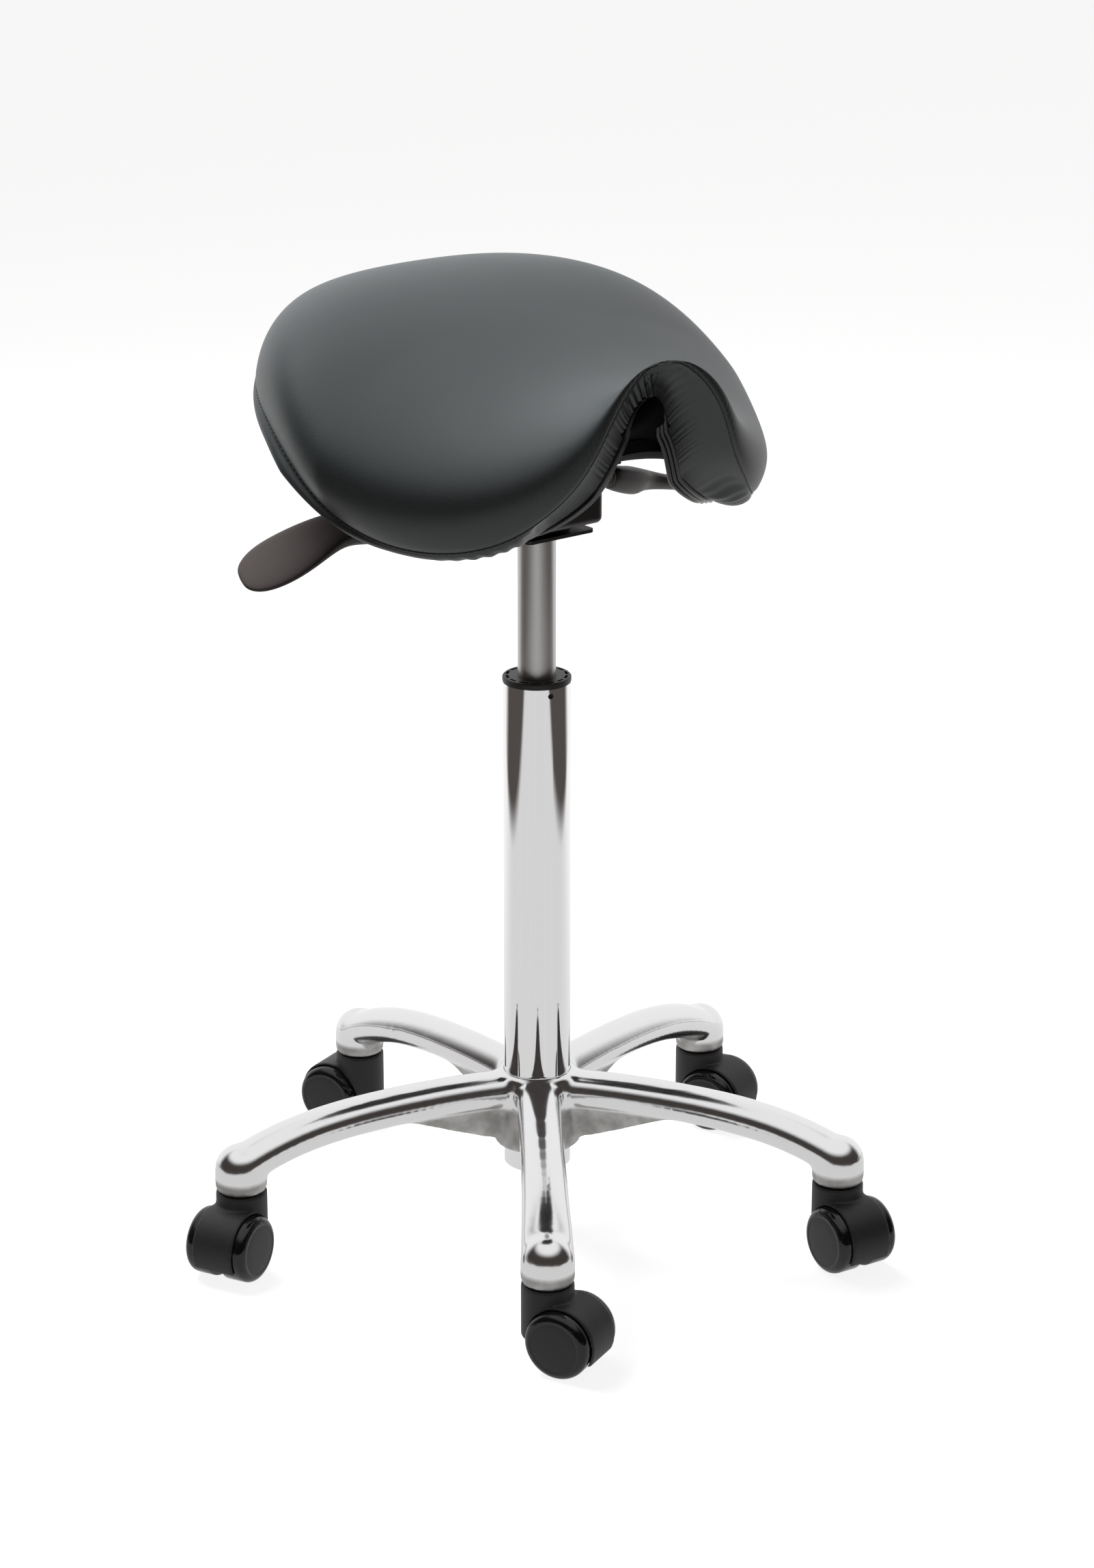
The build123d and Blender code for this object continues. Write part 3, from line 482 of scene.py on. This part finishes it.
# ---- castors ------------------------------------------------------------------------
# Twin-wheel castors. The nylon hood is one moulding, a drum over the two wheels with a
# round neck that holds the stem; each wheel has a glossy tread and a matt flat face.
axle_height = 0.025
trail = 0.018
hood_radius = 0.0272
hood_half = 0.0170
neck_radius = 0.0190
neck_top = 0.0616
cavity_radius = 0.0257
cavity_start = 0.0030      # half of the web between the wheels
cavity_depth = 0.03
lip_height = 0.0130
wheel_inner = 0.0040
wheel_outer = 0.0255
edge_radius = 0.0060
face_radius = 0.0186
face_depth = 0.02          # faces further out than this belong to the wheel's matt face

hood_plastic, tree, shader = new_material("hood_nylon", (0.0170, 0.0158, 0.0168), 0.5)
spark = cloud(tree, place_of(tree), 1700.0, 3.0)
haze = cloud(tree, place_of(tree), 120.0, 3.0)
feed(shader, "Roughness", 0.48 + spark * 0.10)
light_hood = (0.0330, 0.0312, 0.0328, 1.0)
feed(shader, "Base Color", tree.mix(haze, (0.0210, 0.0197, 0.0208, 1.0), light_hood))
bump(tree, shader, spark, 0.00012)

tread, tree, shader = new_material("tread", (0.006, 0.006, 0.006), 0.12)
scuff = cloud(tree, place_of(tree), 350.0, 5.0).step(0.45, 0.75)
feed(shader, "Roughness", 0.10 + scuff * 0.22)

wheel_face, tree, shader = new_material("wheel_face", (0.027, 0.026, 0.027), 0.45)
mould = cloud(tree, place_of(tree), 1300.0, 2.0)
feed(shader, "Roughness", 0.42 + mould * 0.1)
bump(tree, shader, mould, 0.00004)

bm = bmesh.new()
crossways = Matrix.Rotation(radians(90), 4, "X")
drum_place = Matrix.Translation((trail, 0, axle_height)) @ crossways
bmesh.ops.create_cone(
    bm, cap_ends=True, segments=96, radius1=hood_radius, radius2=hood_radius,
    depth=2 * hood_half, matrix=drum_place,
)
neck_foot = axle_height - 0.004
bmesh.ops.create_cone(
    bm, cap_ends=True, segments=72, radius1=neck_radius, radius2=neck_radius,
    depth=neck_top - neck_foot, matrix=Matrix.Translation((0, 0, (neck_top + neck_foot) / 2)),
)
hood_shape = object_from(bm, "hood_shape")
remesh(hood_shape, 0.0011, 8)
bm = bmesh.new()
bm.from_mesh(hood_shape.data)
everything = bm.verts[:] + bm.edges[:] + bm.faces[:]
rim = bmesh.ops.bisect_plane(
    bm, geom=everything, plane_co=(0, 0, lip_height), plane_no=(0, 0, 1), clear_inner=True
)["geom_cut"]
rim_edges = [part for part in rim if isinstance(part, bmesh.types.BMEdge)]
bmesh.ops.contextual_create(bm, geom=rim_edges)
bm.to_mesh(hood_shape.data)
bm.free()
for turn in (-1, 1):
    bm = bmesh.new()
    cavity_middle = Vector((trail, turn * (cavity_start + cavity_depth / 2), axle_height))
    bmesh.ops.create_cone(
        bm, cap_ends=True, segments=96, radius1=cavity_radius, radius2=cavity_radius,
        depth=cavity_depth, matrix=Matrix.Translation(cavity_middle) @ crossways,
    )
    cut(hood_shape, object_from(bm, "cavity"))

# half section of a wheel, out along its axle and then outwards; spun about the axle
bm = bmesh.new()
section = [(wheel_inner, 0.0035), (wheel_inner, 0.008), (wheel_inner + 0.006, 0.009)]
section += [(wheel_inner + 0.006, 0.020), (wheel_inner + 0.0006, 0.0215)]
section += [(wheel_inner + 0.0006, 0.0238), (wheel_inner + 0.0012, 0.0247)]
section += [(wheel_inner + 0.0021, 0.025)]
for number in range(9):
    angle = radians(90 * number / 8)
    section.append((
        wheel_outer - edge_radius + edge_radius * sin(angle),
        axle_height - edge_radius + edge_radius * cos(angle),
    ))
section += [(wheel_outer - 0.0003, face_radius), (wheel_outer - 0.0002, face_radius - 0.0005)]
section += [(wheel_outer + 0.0002, 0.011), (wheel_outer + 0.0003, 0.0)]
corners = [bm.verts.new((along, 0, outward)) for along, outward in section]
sides = [bm.edges.new(pair) for pair in zip(corners, corners[1:])]
bmesh.ops.spin(
    bm, geom=corners + sides, axis=(1, 0, 0), cent=(0, 0, 0), angle=2 * pi, steps=72, use_merge=True
)
bmesh.ops.remove_doubles(bm, verts=bm.verts, dist=1e-6)
bmesh.ops.recalc_face_normals(bm, faces=bm.faces)
for face in bm.faces:
    middle = face.calc_center_median()
    outward = sqrt(middle.y ** 2 + middle.z ** 2)
    face.material_index = int(outward < face_radius and middle.x > face_depth)
wheel_mesh = bpy.data.meshes.new("wheel")
bm.to_mesh(wheel_mesh)
bm.free()
wheel_mesh.shade_smooth()
wheel_mesh.materials.append(tread)
wheel_mesh.materials.append(wheel_face)


def placed_copy(mesh, name, matrix):
    """A copy of a mesh, put in place in its own vertices."""
    own = mesh.copy()
    own.transform(matrix)
    made = bpy.data.objects.new(name, own)
    scene.collection.objects.link(made)
    return made


for number in range(1, 6):
    arm_turn = Matrix.Rotation(radians(90 + 72 * (number - 1)), 4, "Z")
    low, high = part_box(f"castor_axle_{number}")
    stem = arm_turn @ Vector((arm_reach, 0, 0))
    axle = (low + high) / 2 - stem
    pointing = Vector((axle.x, axle.y, 0)).to_track_quat("X", "Z")
    swivel = Matrix.Translation(stem) @ pointing.to_matrix().to_4x4()
    hood = placed_copy(hood_shape.data, f"castor_{number}_hood", swivel)
    hood.data.materials.append(hood_plastic)
    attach(hood, f"castor_{number}")
    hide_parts(f"castor_hood_{number}")
    for side_name, turn in (("left", 90), ("right", -90)):
        at = Matrix.Translation((trail, 0, axle_height)) @ Matrix.Rotation(radians(turn), 4, "Z")
        wheel = placed_copy(wheel_mesh, f"castor_{number}_{side_name}_wheel", swivel @ at)
        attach(wheel, f"wheel_{side_name}_{number}")
        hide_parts(f"castor_wheel_{side_name}_{number}")
bpy.data.objects.remove(hood_shape)

# ---- levers -------------------------------------------------------------------------
# Moulded paddles on the ends of cranked steel shafts: a gently crowned top with a raised
# rim, sides that taper inwards below it, and a deep shoulder next to the rubber boot.
lever_pivot = Vector((0.030, 0, 0.583))
sweep = radians(19.5)
droop = radians(15)
outwards = Vector((cos(sweep) * cos(droop), sin(sweep) * cos(droop), -sin(droop)))
level_side = Vector((-sin(sweep), cos(sweep), 0))
upright = outwards.cross(level_side)
# distance from the pivot, half width, height above and depth below the middle, and how far
# the middle stands off the lever's line across it
paddle_stations = (
    (0.0545, 0.0070, 0.0070, 0.0075, 0.000), (0.0560, 0.0086, 0.0084, 0.0090, 0.000),
    (0.0700, 0.0100, 0.0084, 0.0110, 0.000), (0.0960, 0.0135, 0.0082, 0.0125, 0.004),
    (0.1090, 0.0145, 0.0078, 0.0118, 0.010), (0.1220, 0.0150, 0.0070, 0.0090, 0.0135),
    (0.1400, 0.0198, 0.0055, 0.0066, 0.0105), (0.1600, 0.0228, 0.0045, 0.0055, 0.006),
    (0.1780, 0.0224, 0.0038, 0.0046, 0.003), (0.1900, 0.0190, 0.0032, 0.0038, 0.001),
    (0.1975, 0.0135, 0.0026, 0.0028, 0.000), (0.2010, 0.0070, 0.0016, 0.0016, 0.000),
)
# how square a paddle's section is across, above and below its middle, and how far its
# underside draws in
squareness, crown, belly = 0.72, 0.45, 0.9
underside_taper = 0.22
# each lever, the side it is on, and how far its paddle is rolled about the shaft
levers = (("tilt_lever", 1, radians(3)), ("height_lever", -1, radians(30)))
lever_plastic, tree, shader = new_material("lever_plastic", (0.066, 0.054, 0.052), 0.5)
grip_grain = cloud(tree, place_of(tree), 1600.0, 3.0)
rubbed = cloud(tree, place_of(tree), 40.0, 3.0)
feed(shader, "Roughness", 0.46 + rubbed * 0.14)
feed(shader, "Base Color", tree.mix(rubbed, (0.062, 0.050, 0.048, 1.0), (0.088, 0.073, 0.070, 1.0)))
bump(tree, shader, grip_grain, 0.00010)
for lever, mirror, paddle_roll in levers:
    flip = Matrix.Diagonal((mirror, 1, 1, 1))
    across = level_side * cos(paddle_roll) + upright * sin(paddle_roll)
    raised = outwards.cross(across)
    bm = bmesh.new()
    loops = []
    for distance, half_width, above, below, aside in paddle_stations:
        middle = lever_pivot + outwards * distance + across * aside
        made = bmesh.ops.create_circle(bm, segments=40, radius=1.0)["verts"]
        for corner in made:
            c, s = corner.co.x, corner.co.y
            wide = abs(c) ** squareness * (1 if c > 0 else -1) * half_width
            tall = above * abs(s) ** crown if s > 0 else -below * abs(s) ** belly
            if s < 0:
                wide *= 1 - underside_taper * abs(s)
            corner.co = flip @ (middle + across * wide + raised * tall)
        loops.append(made)
    rings = [[e for e in bm.edges if set(e.verts) <= set(loop)] for loop in loops]
    for first, second in zip(rings, rings[1:]):
        bmesh.ops.bridge_loops(bm, edges=first + second)
    bmesh.ops.holes_fill(bm, edges=bm.edges, sides=0)
    bmesh.ops.recalc_face_normals(bm, faces=bm.faces)
    paddle = object_from(bm, f"{lever}_paddle", lever_plastic)
    rounding = paddle.modifiers.new("rounding", "SUBSURF")
    rounding.levels = rounding.render_levels = 2
    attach(paddle, lever)
    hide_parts(f"{lever}_handle")

# ---- saddle -------------------------------------------------------------------------
# Moulded foam on the shell, covered in dark leather: one crowned top skin, sewn all the
# way round to a boxing strip that turns under the foam. Lengths here are millimetres, in
# (out from the middle, forwards, up); each row is a seam point and the step from there
# over the foam's edge to the inner edge of the strip.
seam_points = np.array([
    (0.0, 142.6, 694.3), (41.9, 145.5, 665.3), (68.0, 137.9, 619.2), (112.1, 107.0, 577.5),
    (155.4, 46.9, 568.0), (178.8, -15.7, 592.6), (176.1, -77.8, 632.7), (141.4, -145.4, 656.6),
    (76.8, -183.2, 684.2), (0.0, -192.7, 692.6),
])
strip_steps = np.array([
    (0, -13, -27), (-24, -23, -25), (-30, -24, -18), (-28, -15, -3), (-33, -8, 1),
    (-32, 2, -3), (-28, 10, -10), (-18, 18, -16), (-6, 16, -19), (0, 6, -22),
])
spine_heights = (692.6, 722.3, 697.1, 667.0, 694.3)      # evenly spaced, rear to front
foam_thick = 44.0
cover_pull = {"start": (0.452, 0.536, 0.486), "end": (0.441, 0.430, 0.292)}
edge_turn = np.radians((116.2, 135.4, 27.7))


def knots_round(points):
    """Each point's share of the way round their closed loop, and 1 at its end."""
    gaps = np.sqrt(np.linalg.norm(np.diff(np.vstack([points, points[:1]]), axis=0), axis=1))
    return np.concatenate([[0], np.cumsum(gaps)]) / gaps.sum()


def closed_spline(points):
    """Smooth closed curve through points, as a function of its share of the way round."""
    knots = knots_round(points)
    h = np.diff(knots)
    slope = (np.roll(points, -1, axis=0) - points) / h[:, None]
    count = len(points)
    matrix = np.zeros((count, count))
    right = np.zeros_like(points)
    for i in range(count):
        matrix[i, i - 1] += h[i]
        matrix[i, i] += 2 * (h[i - 1] + h[i])
        matrix[i, (i + 1) % count] += h[i - 1]
        right[i] = 3 * (h[i] * slope[i - 1] + h[i - 1] * slope[i])
    tangent = np.linalg.solve(matrix, right)

    def at(share):
        share = np.mod(share, 1.0)
        i = np.clip(np.searchsorted(knots, share, side="right") - 1, 0, count - 1)
        j = (i + 1) % count
        s = ((share - knots[i]) / h[i])[..., None]
        span = h[i][..., None]
        return (
            points[i] * (1 + 2 * s) * (1 - s) ** 2 + tangent[i] * span * s * (1 - s) ** 2
            + points[j] * s * s * (3 - 2 * s) + tangent[j] * span * s * s * (s - 1)
        )

    return at


def whole_loop(half):
    """Both sides of the saddle from one side's points."""
    return np.vstack([half, (half[1:-1] * (-1, 1, 1))[::-1]])


seam_curve = closed_spline(whole_loop(seam_points))
seam_knots = knots_round(whole_loop(seam_points))
knot_steps = whole_loop(strip_steps.astype(float))
knot_steps = np.vstack([knot_steps, knot_steps[:1]])
front_y, rear_y = seam_points[0][1], seam_points[-1][1]
spine_at = np.polynomial.Polynomial.fit(np.linspace(rear_y, front_y, 5), spine_heights, 4)


def seam(t):
    """Seam point of the right half, t from 0 at the front to 1 at the rear."""
    return seam_curve(np.asarray(t) / 2)


def strip_step(t):
    """The step across the strip, from the seam to its inner edge."""
    t = np.asarray(t, float) / 2
    return np.stack([np.interp(t, seam_knots, knot_steps[:, k]) for k in range(3)], axis=-1)


def arch(start, end, t, v):
    """Cross curve of the saddle from the middle line to its edge, v from 0 to 1."""
    span = np.linalg.norm(end - start, axis=-1)[..., None]
    flat = (end - start) * (1, 1, 0)
    length = np.linalg.norm(flat, axis=-1)[..., None]
    flat = np.where(length > 1e-6, flat / np.maximum(length, 1e-6), (1.0, 0, 0))
    pull = [np.interp(t, (0, 0.5, 1), cover_pull[k])[..., None] for k in ("start", "end")]
    turn = np.interp(t, (0, 0.5, 1), edge_turn)[..., None]
    heading_in = np.cos(turn) * flat - np.sin(turn) * np.array((0, 0, 1.0))
    a = start + pull[0] * span * np.array((1.0, 0, 0))
    b = end - pull[1] * span * heading_in
    v = v[..., None]
    return (1 - v) ** 3 * start + 3 * v * (1 - v) ** 2 * a + 3 * v * v * (1 - v) * b + v ** 3 * end


def spine(t):
    """Point of the top on the middle line."""
    y = rear_y + (front_y - rear_y) * (1 + np.cos(pi * t)) / 2
    return np.stack([0 * y, y, spine_at(y)], axis=-1)


def seam_direction(t):
    """The way the seam runs."""
    run = seam(t + 0.004) - seam(t - 0.004)
    return run / np.linalg.norm(run, axis=-1)[..., None]


# how far the strip's padding swells, and how steeply down, along the seam
swell_depth = (
    (0, 0.25, 0.36, 0.44, 0.52, 0.60, 0.68, 0.75, 0.85, 1.0),
    (6.5, 6.5, 7, 9.5, 15, 19.5, 15, 10.5, 8, 6.5),
)
swell_drop = ((0.2, 0.35, 0.5, 0.6, 0.75, 1.0), (70, 62, 42, 28, 30, 25))
swell_turn_start, swell_turn_span = 0.14, 0.24
seat_middle = np.array((0, -20.0, 0))


def swell(t, step):
    """The way in which the strip swells: square to it in front, outwards and down behind."""
    run = seam_direction(t)
    square = np.cross(step, run)
    square /= np.linalg.norm(square, axis=-1)[..., None]
    outward = np.stack([-run[..., 1], run[..., 0], 0 * run[..., 0]], axis=-1)
    outward /= np.linalg.norm(outward, axis=-1)[..., None]
    outward *= np.sign((((seam(t) - seat_middle) * outward)[..., :2]).sum(axis=-1))[..., None]
    drop = np.radians(np.interp(t, *swell_drop))[..., None]
    aside = outward * np.cos(drop) - np.array((0, 0, 1.0)) * np.sin(drop)
    share = np.clip((t - swell_turn_start) / swell_turn_span, 0, 1)[..., None]
    share = share * share * (3 - 2 * share)
    both = square * (1 - share) + aside * share
    return both / np.linalg.norm(both, axis=-1)[..., None] * np.interp(t, *swell_depth)[..., None]


def saddle_point(t, s):
    """Point of the closed skin of one half. s runs over the cover from 0 to 1, over the
    strip from 1 to 2 and back under the foam to the middle line from 2 to 3."""
    top, edge, step = spine(t), seam(t), strip_step(t)
    cover = arch(top, edge, t, np.clip(s, 0, 1))
    share = np.clip(s - 1, 0, 1)
    padding = swell(t, step) * (np.sin(pi * share) ** 0.8)[..., None]
    strip = edge + step * share[..., None] + padding
    ends = np.sin(pi * t)[..., None] ** 0.7
    first, last = strip_steps[0], strip_steps[-1]
    rest = first * (1 - t[..., None]) + last * t[..., None]
    below = top + rest * (1 - ends) + np.array((0, 0, -foam_thick)) * ends
    under = arch(below, edge + step, t, np.clip(3 - s, 0, 1))
    s = s[..., None]
    return np.where(s <= 1, cover, np.where(s <= 2, strip, under))


def to_frame(points, turn):
    """From (out, forwards, up) in millimetres to the frame's metres."""
    return points * np.array((turn, -1, 1)) * mm


# rows along the saddle, closer together in front, and places across each half
rows = np.concatenate([np.linspace(0, 0.36, 91), np.linspace(0.36, 1, 81)[1:]])
around = np.concatenate([
    np.linspace(0, 1, 51), np.linspace(1, 2, 17)[1:], np.linspace(2, 3, 9)[1:]
])
half_count = len(around) - 1
bm = bmesh.new()
bmesh.ops.create_grid(bm, x_segments=len(rows) - 1, y_segments=2 * half_count, size=0.5)
along_layer = bm.verts.layers.float.new("along")
around_layer = bm.verts.layers.float.new("around")
t = np.interp([v.co.x + 0.5 for v in bm.verts], np.linspace(0, 1, len(rows)), rows)
walk = np.array([v.co.y * 2 * half_count for v in bm.verts])
position = np.interp(np.abs(walk), np.arange(half_count + 1), around)
points = saddle_point(t, position)
turns = np.where(walk >= 0, 1.0, -1.0)
ones = np.ones_like(turns)
points = points * np.stack([turns, -ones, ones], axis=-1) * mm
for number, vertex in enumerate(bm.verts):
    vertex.co = points[number]
    vertex[along_layer] = t[number]
    vertex[around_layer] = position[number]
bmesh.ops.remove_doubles(bm, verts=bm.verts, dist=0.00002)
lining_rows = [
    face for face in bm.faces
    if sum(v[around_layer] for v in face.verts) / len(face.verts) > 2.0
]
for face in lining_rows:
    face.material_index = 1
bmesh.ops.recalc_face_normals(bm, faces=bm.faces)
saddle = object_from(bm, "saddle_cover")
finer = saddle.modifiers.new("finer", "SUBSURF")
finer.levels = finer.render_levels = 1
apply_modifiers(saddle)

# the stitched seam pulls the leather in along its line
seam_line = [
    Vector(to_frame(point, turn))
    for turn in (1, -1) for point in seam(np.linspace(0, 1, 700))
]
line_tree = KDTree(len(seam_line))
for number, point in enumerate(seam_line):
    line_tree.insert(point, number)
line_tree.balance()
seam_depth = 0.0011
seam_reach = 0.0028

# The strip is gathered round the front, and creases at the sides and where the flaps turn
# under; the cover has fine tucks beside its seam. A pitch is a share of the seam's length
# from front to rear, and a height is in metres.
gather_pitch, gather_height, gather_reach = 0.0135, 0.0012, 0.05
side_pitch, side_height = 0.0088, 0.0005
toe_pitch, toe_height = 0.019, 0.0005
tuck_pitch, tuck_height, tuck_reach = 0.0090, 0.00022, 0.14


def ramp(value, start, span):
    """0 at start, straight up to 1 at start + span, which may lie below it, and level past both."""
    return np.clip((value - start) / span, 0, 1)


count = len(saddle.data.vertices)
t = np.empty(count)
s = np.empty(count)
saddle.data.attributes["along"].data.foreach_get("value", t)
saddle.data.attributes["around"].data.foreach_get("value", s)
on_strip = ramp(s, 1.04, 0.15) * ramp(s, 2.0, -0.06)
inner = ramp(s, 1.05, 0.75)
front = np.exp(-((t / gather_reach) ** 2)) * inner ** 0.7
gathers = np.sin(2 * pi * (t / gather_pitch + 1.1 * inner)) * front * gather_height
uneven = 0.5 + 0.5 * np.sin(t * 260) * np.sin(t * 97 + 1.0)
side_share = ramp(t, 0.03, 0.03) * ramp(t, 0.19, -0.05) * ramp(s, 1.3, 0.5) * uneven
side_waves = np.sin(2 * pi * t / side_pitch + 3.0 * np.sin(t * 90) + 2 * s)
side_creases = side_waves * side_share * side_height
toe_share = ramp(t, 0.225, 0.03) * ramp(t, 0.40, -0.05) * np.sin(pi * ramp(s, 1, 1))
toe_creases = np.sin(2 * pi * t / toe_pitch + 1.3 * np.sin(6 * s)) * toe_share * toe_height
tuck_share = np.exp(-((t / tuck_reach) ** 2)) * ramp(s, 0.72, 0.25) * ramp(s, 1.0, -0.04)
tucks = np.sin(2 * pi * t / tuck_pitch + 2.0 * np.sin(t * 60)) * tuck_share * tuck_height
crease = on_strip * (gathers + side_creases + toe_creases) + tucks
normals = [v.normal.copy() for v in saddle.data.vertices]
for number, vertex in enumerate(saddle.data.vertices):
    distance = line_tree.find(vertex.co)[2]
    sink = seam_depth * np.exp(-((distance / seam_reach) ** 2))
    vertex.co += normals[number] * float(crease[number] - sink)

leather, tree, shader = new_material(
    "leather", (0.040, 0.048, 0.051), 0.40, Specular_IOR_Level=0.7
)
lining, lining_tree, lining_shader = new_material(
    "lining", (0.004, 0.004, 0.004), 0.9, Specular_IOR_Level=0.08
)
saddle.data.materials.append(leather)
saddle.data.materials.append(lining)
grain = tree.node("ShaderNodeTexVoronoi", {"Vector": place_of(tree), "Scale": 950.0})
pores = cloud(tree, place_of(tree), 2600.0, 3.0)
mottle = cloud(tree, place_of(tree), 9.0, 4.0)
feed(shader, "Roughness", 0.35 + mottle * 0.12 + pores * 0.06)
feed(shader, "Base Color", tree.mix(mottle, (0.034, 0.041, 0.044, 1.0), (0.046, 0.055, 0.058, 1.0)))
bump(tree, shader, grain * 0.5 + pores * 0.5, 0.00012)
nap = cloud(lining_tree, place_of(lining_tree), 900.0, 3.0)
feed(lining_shader, "Roughness", 0.8 + nap * 0.2)
bump(lining_tree, lining_shader, nap, 0.0002)
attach(saddle, "seat")
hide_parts("seat_cushion")

# ---- seams and edge trim ------------------------------------------------------------
# Waxed thread in the groove between the cover and its strip, two rows of stitches beside
# the strip's own joint in front, and a ribbed rubber trim that clamps the leather's inner
# edge to the shell along the front of each flap.
skin_tree = BVHTree.FromPolygons(
    [v.co.copy() for v in saddle.data.vertices], [tuple(p.vertices) for p in saddle.data.polygons]
)
thread_radius = 0.00042
groove_thread_radius = thread_radius * 1.25
stitch_length = 0.0031
stitch_pitch = 0.0046
stitch_lift = 0.0002
joint_stitch_pitch = stitch_pitch * 0.85
joint_stitch_aside = 0.0034


def laid_on(points):
    """The points put on the leather's skin, and the skin's normals there."""
    found = [skin_tree.find_nearest(Vector(point))[:2] for point in points]
    return [spot for spot, normal in found], [normal for spot, normal in found]


def even(points, pitch):
    """The line through the points, again, at an even pitch."""
    points = np.array(points)
    lengths = np.concatenate([[0], np.cumsum(np.linalg.norm(np.diff(points, axis=0), axis=1))])
    marks = np.arange(0, lengths[-1], pitch)
    return np.stack([np.interp(marks, lengths, points[:, k]) for k in range(3)], axis=-1)


def along_run(middle, run):
    """A place at the middle, with its Z along the run."""
    return Matrix.Translation(middle) @ run.to_track_quat("Z", "Y").to_matrix().to_4x4()


def tube_along(bm, points, radius, segments):
    """A round tube through the points, closed at its ends."""
    points = [Vector(point) for point in points]
    loops = []
    for before, point, after in zip(points[:1] + points, points, points[1:] + points[-1:]):
        place = along_run(point, after - before)
        made = bmesh.ops.create_circle(bm, segments=segments, radius=radius, matrix=place)["verts"]
        loops.append(list(dict.fromkeys(edge for corner in made for edge in corner.link_edges)))
    for first, second in zip(loops, loops[1:]):
        bmesh.ops.bridge_loops(bm, edges=first + second)
    bmesh.ops.holes_fill(bm, edges=loops[0] + loops[-1], sides=0)


def stitches(bm, points, normals):
    """Short raised stitches along a line."""
    size = Matrix.Diagonal((thread_radius, thread_radius, stitch_length / 2, 1))
    for first, second, normal in zip(points, points[1:], normals):
        place = along_run((first + second) / 2 + normal * stitch_lift, second - first)
        bmesh.ops.create_icosphere(bm, subdivisions=1, radius=1.0, matrix=place @ size)


def joint_point(s):
    """Point of the strip's own joint, in front on the middle line."""
    return Vector(to_frame(saddle_point(np.array(0.0), np.array(s)), 1))


thread, tree, shader = new_material("thread", (0.016, 0.016, 0.017), 0.55)
twist = cloud(tree, place_of(tree), 2500.0, 2.0)
feed(shader, "Roughness", 0.5 + twist * 0.25)
feed(shader, "Base Color", tree.mix(twist, (0.010, 0.010, 0.011, 1.0), (0.030, 0.030, 0.031, 1.0)))
pale_thread, tree, shader = new_material("stitch_thread", (0.20, 0.20, 0.20), 0.5)
twist = cloud(tree, place_of(tree), 2500.0, 2.0)
feed(shader, "Roughness", 0.45 + twist * 0.25)
feed(shader, "Base Color", tree.mix(twist, (0.10, 0.10, 0.10, 1.0), (0.26, 0.26, 0.26, 1.0)))

loop_points = [to_frame(point, 1) for point in seam(np.linspace(0, 1, 900))]
loop_points += [to_frame(point, -1) for point in seam(np.linspace(1, 0, 900)[1:])]
groove = laid_on(even(loop_points, 0.0024))[0]
centre_line = [joint_point(s) for s in np.linspace(1.02, 1.97, 60)]
centre_joint = laid_on(even(centre_line, 0.002))[0]
bm = bmesh.new()
tube_along(bm, groove, groove_thread_radius, segments=6)
tube_along(bm, centre_joint, thread_radius, segments=6)
bmesh.ops.recalc_face_normals(bm, faces=bm.faces)
seam_thread = object_from(bm, "seam_thread", thread)
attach(seam_thread, "seat")

bm = bmesh.new()
stitches(bm, *laid_on(even(loop_points, stitch_pitch)))
for turn in (1, -1):
    beside = Vector((turn * joint_stitch_aside, 0, 0))
    row = [joint_point(s) + beside for s in np.linspace(1.06, 1.9, 60)]
    stitches(bm, *laid_on(even(row, joint_stitch_pitch)))
seam_stitches = object_from(bm, "seam_stitches", pale_thread)
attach(seam_stitches, "seat")

trim_rubber, tree, shader = new_material("edge_trim", (0.022, 0.020, 0.020), 0.25)
trim_marks = cloud(tree, place_of(tree), 300.0, 3.0)
feed(shader, "Roughness", 0.20 + trim_marks * 0.18)
# three ribs side by side, millimetres in from the strip's edge, and how far along it they run
trim_radius = 0.0018
trim_rows = (0.2, 3.4, 6.6)
trim_lift = 0.6
trim_span = np.linspace(0.016, 0.335, 70)
bm = bmesh.new()
for turn in (1, -1):
    steps = strip_step(trim_span)
    inwards = steps / np.linalg.norm(steps, axis=-1)[:, None]
    outer_side = swell(trim_span, steps)
    outer_side /= np.linalg.norm(outer_side, axis=-1)[:, None]
    for inset in trim_rows:
        line = seam(trim_span) + steps + inwards * inset + outer_side * trim_lift
        tube_along(bm, even(to_frame(line, turn), 0.004), trim_radius, segments=10)
bmesh.ops.recalc_face_normals(bm, faces=bm.faces)
trim = object_from(bm, "edge_trim", trim_rubber)
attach(trim, "seat")
